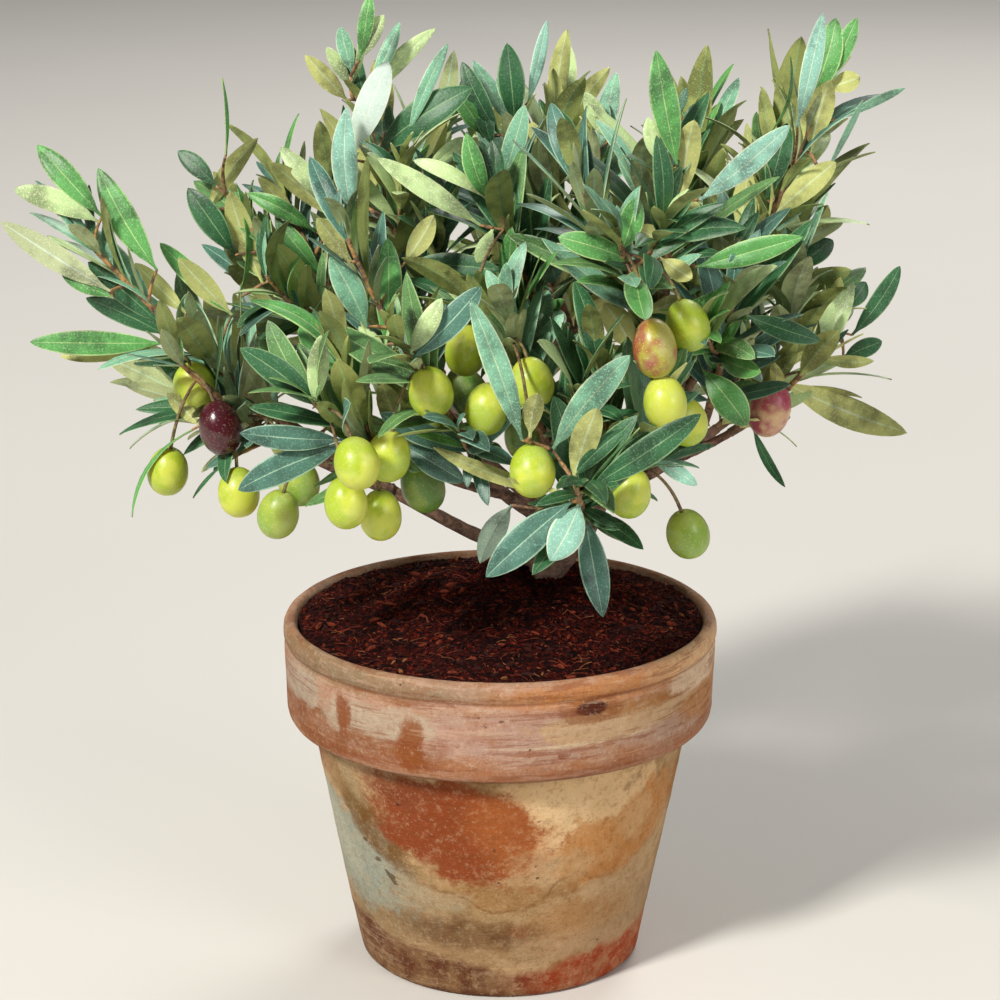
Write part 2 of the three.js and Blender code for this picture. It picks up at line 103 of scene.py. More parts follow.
class Socket:
    """A shader value whose operators add Math nodes."""

    def __init__(self, book: "Book", raw: bpy.types.NodeSocket) -> None:
        """Wraps the socket of a node in a book's tree."""
        self.book = book
        self.raw = raw

    def maths(self, operation: str, *others: Any) -> "Socket":
        """Adds a Math node.

        Args:
            operation: Blender's name of the operation.
            others: the values or sockets that follow this one.

        Returns:
            The node's result.
        """
        inputs = dict(enumerate((self, *others)))
        return self.book.node("ShaderNodeMath", {"operation": operation}, inputs)

    def __add__(self, other: Any) -> "Socket":
        """The sum."""
        return self.maths("ADD", other)

    __radd__ = __add__

    def __sub__(self, other: Any) -> "Socket":
        """The difference."""
        return self.maths("SUBTRACT", other)

    def __rsub__(self, other: float) -> "Socket":
        """A number less this value."""
        return self.book.node("ShaderNodeMath", {"operation": "SUBTRACT"}, {0: other, 1: self})

    def __mul__(self, other: Any) -> "Socket":
        """The product."""
        return self.maths("MULTIPLY", other)

    __rmul__ = __mul__

    def __truediv__(self, other: Any) -> "Socket":
        """The quotient."""
        return self.maths("DIVIDE", other)

    def __pow__(self, other: float) -> "Socket":
        """The power."""
        return self.maths("POWER", other)

    def between(self, low: float, high: float) -> "Socket":
        """Rises smoothly from 0 at low to 1 at high, or falls where high is below low.

        Args:
            low: where the result is 0.
            high: where it is 1.

        Returns:
            The smooth step.
        """
        lowest, highest = sorted((low, high))
        settings = {"interpolation_type": "SMOOTHSTEP"}
        ends = {"From Min": lowest, "From Max": highest}
        if low > high:
            ends |= {"To Min": 1.0, "To Max": 0.0}
        return self.book.node("ShaderNodeMapRange", settings, {"Value": self, **ends})


class Book:
    """The node tree of one material."""

    def __init__(self, name: str) -> None:
        """Starts a material with a Principled shader.

        Args:
            name: the material's name.
        """
        self.material = bpy.data.materials.new(name)
        self.material.use_nodes = True
        self.tree = self.material.node_tree
        self.shader = self.tree.nodes["Principled BSDF"]

    def node(
        self,
        kind: str,
        settings: dict[str, Any] | None = None,
        inputs: dict[str | int, Any] | None = None,
        output: str | int = 0,
    ) -> Socket:
        """Adds a node.

        Args:
            kind: the node's type.
            settings: its own settings, set first.
            inputs: values or sockets for its inputs, by name or number.
            output: the output that is wanted.

        Returns:
            That output.
        """
        made = self.tree.nodes.new(kind)
        for key, value in (settings or {}).items():
            setattr(made, key, value)
        for key, value in (inputs or {}).items():
            self.feed(made.inputs[key], value)
        return Socket(self, made.outputs[output])

    def feed(self, target: bpy.types.NodeSocket, value: Any) -> None:
        """Sets an input to a value, or links it to a socket.

        Args:
            target: the input.
            value: the value or the socket.
        """
        if isinstance(value, Socket):
            self.tree.links.new(value.raw, target)
        else:
            target.default_value = value

    def place(self, stretch: Sequence[float] = (1, 1, 1)) -> Socket:
        """The place on the object in metres, stretched along its axes."""
        where = self.node("ShaderNodeTexCoord", output="Object")
        return self.node("ShaderNodeMapping", None, {"Vector": where, "Scale": tuple(stretch)})

    def noise(
        self, scale: float, detail: float = 3, rough: float = 0.5, where: Socket | None = None
    ) -> Socket:
        """Cloudy noise from 0 to 1.

        Args:
            scale: its fineness, in features to the metre.
            detail: its octaves.
            rough: the strength of the finer octaves.
            where: its coordinates, or the place on the object.

        Returns:
            The noise.
        """
        inputs = {"Scale": scale, "Detail": detail, "Roughness": rough, "Vector": where or self.place()}
        return self.node("ShaderNodeTexNoise", None, inputs)

    def cells(self, scale: float, where: Socket | None = None) -> Socket:
        """The distance from the middles of scattered cells, scale of them to the metre."""
        return self.node("ShaderNodeTexVoronoi", None, {"Scale": scale, "Vector": where or self.place()})

    def mix(self, share: Any, a: Any, b: Any, how: str = "MIX") -> Socket:
        """Mixes two colours.

        Args:
            share: how much of b, from 0 to 1.
            a: the first colour.
            b: the second colour.
            how: the blend type.

        Returns:
            The mixed colour.
        """
        settings = {"data_type": "RGBA", "blend_type": how, "clamp_factor": True}
        return self.node("ShaderNodeMix", settings, {0: share, 6: a, 7: b}, 2)

    def finish(
        self,
        colour: Any,
        rough: Any,
        bump: Socket | None = None,
        depth: float = 0.0005,
        **rest: Any,
    ) -> bpy.types.Material:
        """Connects the shader.

        Args:
            colour: the base colour.
            rough: the roughness.
            bump: the height of the fine relief, if there is any.
            depth: how deep in metres that relief is from 0 to 1.
            rest: plain values of other sockets of the shader.

        Returns:
            The finished material.
        """
        self.feed(self.shader.inputs["Base Color"], colour)
        self.feed(self.shader.inputs["Roughness"], rough)
        if bump is not None:
            normal = self.node("ShaderNodeBump", None, {"Height": bump, "Distance": depth})
            self.feed(self.shader.inputs["Normal"], normal)
        for key, value in rest.items():
            self.shader.inputs[key.replace("_", " ")].default_value = value
        return self.material


# Meshes


@dataclass
class Buffers:
    """The corners, faces and face slots of one mesh, in millimetres."""

    corners: list[np.ndarray] = field(default_factory=list)
    faces: list[np.ndarray] = field(default_factory=list)
    slots: list[np.ndarray] = field(default_factory=list)
    values: list[np.ndarray] = field(default_factory=list)
    count: int = 0

    def add(
        self,
        corners: np.ndarray,
        faces: Iterable[np.ndarray],
        slot: int | Sequence[Any] = 0,
        value: float | np.ndarray = 0.0,
    ) -> None:
        """Adds a closed shape.

        Args:
            corners: its corners, one a row.
            faces: arrays of faces, one a row, with the numbers of their corners.
            slot: the material slot of its faces, or one for each array of faces.
            value: a number for its corners, such as their age.
        """
        faces = list(faces)
        each = [slot] * len(faces) if isinstance(slot, int) else list(slot)
        for rows, its_slot in zip(faces, each, strict=True):
            self.faces.append(rows + self.count)
            self.slots.append(np.broadcast_to(np.asarray(its_slot, np.int32), (len(rows),)))
        self.corners.append(corners)
        self.values.append(np.broadcast_to(np.asarray(value, np.float32), (len(corners),)))
        self.count += len(corners)

    def piece(
        self, name: str, materials: Sequence[bpy.types.Material], sharp: float = 180.0
    ) -> bpy.types.Object:
        """Makes the mesh and puts it on the root body.

        Args:
            name: the piece's name.
            materials: its materials, in the order of the slots.
            sharp: the angle in degrees above which an edge shows sharp.

        Returns:
            The object.
        """
        mesh = bpy.data.meshes.new(name)
        corners = np.concatenate(self.corners) * MM
        rings = np.concatenate([rows.ravel() for rows in self.faces])
        sides = np.concatenate([np.full(len(rows), rows.shape[1]) for rows in self.faces])
        mesh.vertices.add(len(corners))
        mesh.vertices.foreach_set("co", corners.astype(np.float32).ravel())
        mesh.loops.add(len(rings))
        mesh.loops.foreach_set("vertex_index", rings.astype(np.int32))
        mesh.polygons.add(len(sides))
        mesh.polygons.foreach_set("loop_start", (np.cumsum(sides) - sides).astype(np.int32))
        mesh.polygons.foreach_set("material_index", np.concatenate(self.slots).astype(np.int32))
        mesh.polygons.foreach_set("use_smooth", np.ones(len(sides), bool))
        mesh.update(calc_edges=True)
        mesh.validate()
        age = mesh.attributes.new("age", "FLOAT", "POINT")
        age.data.foreach_set("value", np.concatenate(self.values).astype(np.float32))
        if sharp < 180:
            mesh.set_sharp_from_angle(angle=math.radians(sharp))
        for material in materials:
            mesh.materials.append(material)
        made = bpy.data.objects.new(name, mesh)
        bpy.context.scene.collection.objects.link(made)
        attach(made, ROOT)
        LOG.info("%s: %d faces", name, len(sides))
        return made


def as_lists(faces: Iterable[np.ndarray]) -> list[list[int]]:
    """Arrays of faces as one list of faces, which is what a crossing test takes."""
    return [list(map(int, face)) for rows in faces for face in rows]


def ring_faces(rings: int, sides: int) -> np.ndarray:
    """The faces between neighbouring rings of corners.

    Args:
        rings: how many rings there are.
        sides: how many corners a ring has, anticlockwise about the way that the rings go.

    Returns:
        The four corners of each face, facing out.
    """
    ring, side = np.divmod(np.arange((rings - 1) * sides), sides)
    beside = (side + 1) % sides
    low, high = ring * sides, (ring + 1) * sides
    return np.stack([low + side, low + beside, high + beside, high + side], 1)


def end_faces(rings: int, sides: int) -> list[np.ndarray]:
    """The flat ends of a tube: its first ring turned round and its last."""
    first = np.arange(sides)[None, ::-1]
    return [first, np.arange(sides)[None] + (rings - 1) * sides]


def tube(
    path: np.ndarray, radii: np.ndarray, sides: int, relief: Callable | None = None
) -> tuple[np.ndarray, list[np.ndarray]]:
    """A closed tube round a path.

    Args:
        path: its middle, one point a row.
        radii: its radius at each point.
        sides: how many sides it has.
        relief: a function of a corner's place that gives how far the bark stands out there, as a
            share of the radius.

    Returns:
        Its corners and its faces.
    """
    ways = np.gradient(path, axis=0)
    ways /= np.linalg.norm(ways, axis=1, keepdims=True)
    across = np.cross(ways[0], (0.0, 0.0, 1.0))
    if np.linalg.norm(across) < 1e-3:
        across = np.array((1.0, 0.0, 0.0))
    angles = np.arange(sides) * math.tau / sides
    rings = []
    for point, way, radius in zip(path, ways, radii, strict=True):
        across = across - way * (across @ way)
        across /= np.linalg.norm(across)
        deep = np.cross(way, across)
        out = np.cos(angles)[:, None] * across + np.sin(angles)[:, None] * deep
        rings.append(point + out * radius)
    corners = np.stack(rings)
    if relief is not None:
        for ring, point in zip(corners, path, strict=True):
            for corner in ring:
                corner += (corner - point) * relief(corner)
    return corners.reshape(-1, 3), [ring_faces(len(path), sides), *end_faces(len(path), sides)]


# The rule of growth


class Stream:
    """A repeatable stream of numbers from 0 to 1, the same as the solids' own."""

    def __init__(self, seed: int) -> None:
        """Starts the stream of a seed."""
        self.state = seed & WORD

    def __call__(self) -> float:
        """Draws the next number.

        Returns:
            The number, from 0 to 1.
        """
        self.state = state = (self.state + 0x6D2B79F5) & WORD
        mixed = (state ^ state >> 15) * (1 | state) & WORD
        mixed = (mixed + ((mixed ^ mixed >> 7) * (61 | mixed) & WORD) ^ mixed) & WORD
        return (mixed ^ mixed >> 14) / 2**32

    def scatter(self, spread: float) -> float:
        """A number within half a spread of zero."""
        return (self() - 0.5) * spread


@dataclass(frozen=True)
class Curve:
    """A bent line with three control points."""

    start: Vector
    bend: Vector
    tip: Vector

    def point(self, share: float) -> Vector:
        """The point at a share of the line."""
        rest = 1 - share
        return self.start * rest**2 + self.bend * (2 * rest * share) + self.tip * share**2

    def way(self, share: float) -> Vector:
        """The direction at a share of the line."""
        step = (self.bend - self.start) * (1 - share) + (self.tip - self.bend) * share
        return step.normalized()

    def points(self, first: float, last: float, count: int) -> np.ndarray:
        """Evenly spread points from one share of the line to another, one a row."""
        return np.array([self.point(t) for t in np.linspace(first, last, count)])

    def length(self) -> float:
        """The line's length."""
        steps = np.diff(self.points(0, 1, 40), axis=0)
        return float(np.linalg.norm(steps, axis=1).sum())


def heading(azimuth: float, rise: float) -> Vector:
    """The unit vector at an azimuth and a rise above the horizon, in degrees."""
    a, r = math.radians(azimuth), math.radians(rise)
    return Vector((math.cos(a) * math.cos(r), math.sin(a) * math.cos(r), math.sin(r)))


def out_of(way: Vector, angle: float) -> Vector:
    """The direction square to a way, at an angle round it.

    Args:
        way: the way.
        angle: the angle from its level side.

    Returns:
        The unit vector.
    """
    side = way.cross(UP)
    side = side.normalized() if side.length_squared > 1e-4 else Vector((1, 0, 0))
    return side * math.cos(angle) + side.cross(way) * math.sin(angle)


def leaving(way: Vector, out: Vector, angle: float, lift: float) -> Vector:
    """A direction that leaves a way at an angle in degrees, lifted towards the light."""
    a = math.radians(angle)
    return (way * math.cos(a) + out * math.sin(a) + UP * lift).normalized()


class Line(NamedTuple):
    """One growth line: what it grows from and where, its tip, its bare share and its seed."""

    parent: str
    at: float
    azimuth: float
    rise: float
    reach: float
    bare: float
    seed: int


HEART = Vector((20, 20, 184))
LINES = {
    "far_left": Line("trunk", 0.06, 189, 33, 221, 0.54, 11),
    "left_up": Line("trunk", 0.32, 182, 46, 183, 0.5, 12),
    "front_left": Line("trunk", 0.42, 243, 39, 172, 0.5, 13),
    "back": Line("trunk", 0.46, 97, 27, 150, 0.5, 14),
    "front": Line("trunk", 0.54, 273, 20, 158, 0.5, 15),
    "right": Line("trunk", 0.64, 0, 35, 135, 0.48, 16),
    "back_right": Line("trunk", 0.76, 47, 30, 160, 0.5, 17),
    "tall_right": Line("trunk", 0.9, 5, 57, 197, 0.5, 18),
    "leader": Line("trunk", 1, 115, 78, 163, 0.48, 19),
    "low_left": Line("far_left", 0.32, 199, 27, 177, 0.45, 41),
    "low_back_left": Line("far_left", 0.38, 165, 14, 165, 0.45, 21),
    "back_left": Line("left_up", 0.34, 160, 47, 172, 0.42, 22),
    "tall_left": Line("left_up", 0.24, 188, 67, 191, 0.45, 23),
    "high_back_left": Line("tall_left", 0.36, 131, 50, 168, 0.4, 24),
    "left_front": Line("front_left", 0.24, 230, 28, 158, 0.4, 25),
    "mid_left": Line("front_left", 0.36, 222, 51, 167, 0.4, 26),
    "inner_front": Line("front", 0.2, 259, 48, 133, 0.38, 27),
    "right_front": Line("front", 0.34, 290, 33, 139, 0.35, 28),
    "low_right": Line("right", 0.3, 341, 33, 129, 0.4, 29),
    "side_right": Line("right", 0.4, 311, 47, 155, 0.35, 30),
    "crown_right": Line("tall_right", 0.2, 303, 62, 176, 0.42, 31),
    "high_right": Line("tall_right", 0.36, 18, 47, 162, 0.4, 32),
    "centre_right": Line("crown_right", 0.36, 283, 52, 173, 0.38, 33),
    "crown_centre": Line("leader", 0.16, 248, 68, 155, 0.4, 34),
    "crown_back": Line("leader", 0.36, 44, 79, 151, 0.38, 35),
    "high_back": Line("back", 0.34, 103, 52, 165, 0.4, 36),
    "low_back_right": Line("back_right", 0.3, 70, 13, 145, 0.4, 37),
    "high_back_right": Line("back_right", 0.42, 52, 52, 172, 0.4, 38),
}


class Ripeness(Enum):
    """How ripe an olive is, or a darker copy for olives in painted shade: its main colour, its second
    colour and its share, and its bloom.
    """

    LIME = (0xA9BF2E, 0xC8D04A, 0.5, 0.15)
    GREEN = (0x86A83C, 0xA4B848, 0.5, 0.2)
    # Painted shade: a darker copy of the green olives' colours, for olives that hang in shade.
    DEEP = (0x5E8838, 0x86A440, 0.45, 0.18)
    PURPLE = (0x1E040A, 0x520A20, 0.35, 0.02)
    BLUSH = (0x9A4634, 0xAEB63C, 0.38, 0.2)
    PINK = (0xA43C54, 0xD0AC80, 0.5, 0.16)


# The middles of the olives of each mass and how ripe they are, or whether they hang in painted shade.
FRUIT = {
    "low_left": [
        (-122, -15, 247, Ripeness.LIME),
        (-110, -35, 235, Ripeness.PURPLE),
        (-133, -20, 213, Ripeness.LIME),
        (-103, -40, 210, Ripeness.LIME),
        (-79, -45, 216, Ripeness.GREEN),
    ],
    "left_front": [
        (-86, -60, 207, Ripeness.GREEN),
        (-53, -105, 240, Ripeness.LIME),
        (-58, -92, 221, Ripeness.LIME),
        (-46, -68, 209, Ripeness.LIME),
        (-30, -58, 218, Ripeness.DEEP),
    ],
    "front_left": [(-26, -85, 262, Ripeness.LIME), (-42, -84, 237, Ripeness.LIME)],
    "mid_left": [(-29, -55, 244, Ripeness.GREEN), (-13, -34, 249, Ripeness.DEEP)],
    "crown_centre": [(-13, -55, 271, Ripeness.LIME)],
    "inner_front": [
        (-5, -75, 253, Ripeness.LIME),
        (12, -75, 263, Ripeness.LIME),
        (10, -38, 233, Ripeness.DEEP),
        (12, -108, 238, Ripeness.LIME),
    ],
    "centre_right": [
        (57, -98, 282, Ripeness.BLUSH),
        (70, -82, 287, Ripeness.LIME),
        (61, -100, 262, Ripeness.LIME),
    ],
    "right_front": [
        (49, -85, 223, Ripeness.LIME),
        (70, -78, 249, Ripeness.LIME),
        (73, -60, 199, Ripeness.GREEN),
    ],
    "low_right": [(108, -15, 237, Ripeness.PINK)],
    "low_back_left": [(-90, 55, 205, Ripeness.GREEN), (-112, 60, 208, Ripeness.LIME)],
    "back_right": [(98, 88, 225, Ripeness.PURPLE)],
    "low_back_right": [(62, 120, 196, Ripeness.LIME)],
}


class Tone(Enum):
    """The tone of a spray: the upper side, the underside and the midrib of its leaves."""

    BLUE = (0x7EB494, 0xB6C08C, 0xBED2AC)
    # Painted sheen: a lighter, bluer copy of the blue-grey upper side, for leaves that catch a sheen.
    MIST = (0x90C2AE, 0xB8C296, 0xCCDCC0)
    SLATE = (0x4C7868, 0xA0AA78, 0x9CBCA4)
    OLIVE = (0x5E8A50, 0xA6AE68, 0xA2BC80)
    DARK = (0x2E623A, 0x96A05E, 0x7C9C70)
    GREEN = (0x5C9E52, 0xAEB66A, 0xA8C884)
    YOUNG = (0xBCD896, 0xC2C67C, 0xCEDAA6)
    # Painted sheen: a near-white copy of the upper side, for leaves that catch a bright sheen.
    SILVER = (0xD2E6DA, 0xBEC698, 0xE2ECDE)
    DRY = (0x66786A, 0x788A7A, 0x6A7C6C)


# Each tone with the share of all sprays that has it or one before it.
DEALT = (
    (0.14, Tone.BLUE),
    (0.26, Tone.SLATE),
    (0.5, Tone.DARK),
    (0.74, Tone.OLIVE),
    (0.84, Tone.GREEN),
    (1.0, Tone.YOUNG),
)


def dealt_tone(seed: int) -> Tone:
    """The tone that chance deals to the spray of a seed."""
    draw = Stream(seed * 31 + 5)()
    return next(tone for limit, tone in DEALT if draw <= limit)


class Side(Enum):
    """The surfaces of a leaf, in the order of a tone's colours."""

    UPPER = 0
    UNDER = 1
    RIB = 2


@dataclass(frozen=True)
class Viewpoint:
    """Where the photograph was taken from, in millimetres and degrees, and the scale of its picture,
    in which places are measured across and down in thousandths of its width."""

    distance: float = 1207.8
    climb: float = 18.525
    rim: float = 147.08
    pitch: float = 16.34
    focal: float = 2919.2
    middle: float = 500

    @property
    def eye(self) -> Vector:
        """The place of the lens, which looks past the pot's rim."""
        climb = math.radians(self.climb)
        return Vector((0, -math.cos(climb), math.sin(climb))) * self.distance + UP * self.rim

    def _ways(self) -> tuple[Vector, Vector]:
        """Works out how the picture lies in space.

        Returns:
            The direction of sight and the one that the picture's upper edge faces.
        """
        pitch = math.radians(self.pitch)
        sight = Vector((0, math.cos(pitch), -math.sin(pitch)))
        return sight, Vector((0, math.sin(pitch), math.cos(pitch)))

    def seen(self, point: Vector) -> tuple[float, float]:
        """The place in the picture that shows a point.

        Args:
            point: the point.

        Returns:
            The place, across and down.
        """
        sight, upward = self._ways()
        gap = point - self.eye
        scale = self.focal / gap.dot(sight)
        return self.middle + gap.x * scale, self.middle - gap.dot(upward) * scale

    def point(self, place: tuple[float, float], depth: float) -> Vector:
        """The point that shows at a place in the picture.

        Args:
            place: the place, across and down.
            depth: how far the point stands behind the pot's middle.

        Returns:
            The point.
        """
        sight, upward = self._ways()
        across, down = ((part - self.middle) / self.focal for part in place)
        ray = sight - upward * down + Vector((across, 0, 0))
        return self.eye + ray * ((depth - self.eye.y) / ray.y)


VIEW = Viewpoint()


class Laid(NamedTuple):
    """A leaf with a place of its own: where the photograph shows its root and its tip, its width
    there, by what share of its length it leans back, its tone, the side that it shows and by how
    many degrees it is turned edge-on. Its root is as deep as the nearest wood of its mass's line,
    or has a depth of its own behind the pot's middle."""

    root: tuple[float, float]
    tip: tuple[float, float]
    width: float
    lean: float = 0
    tone: Tone = Tone.GREEN
    shows: Side = Side.UPPER
    turned: float = 0
    depth: float | None = None


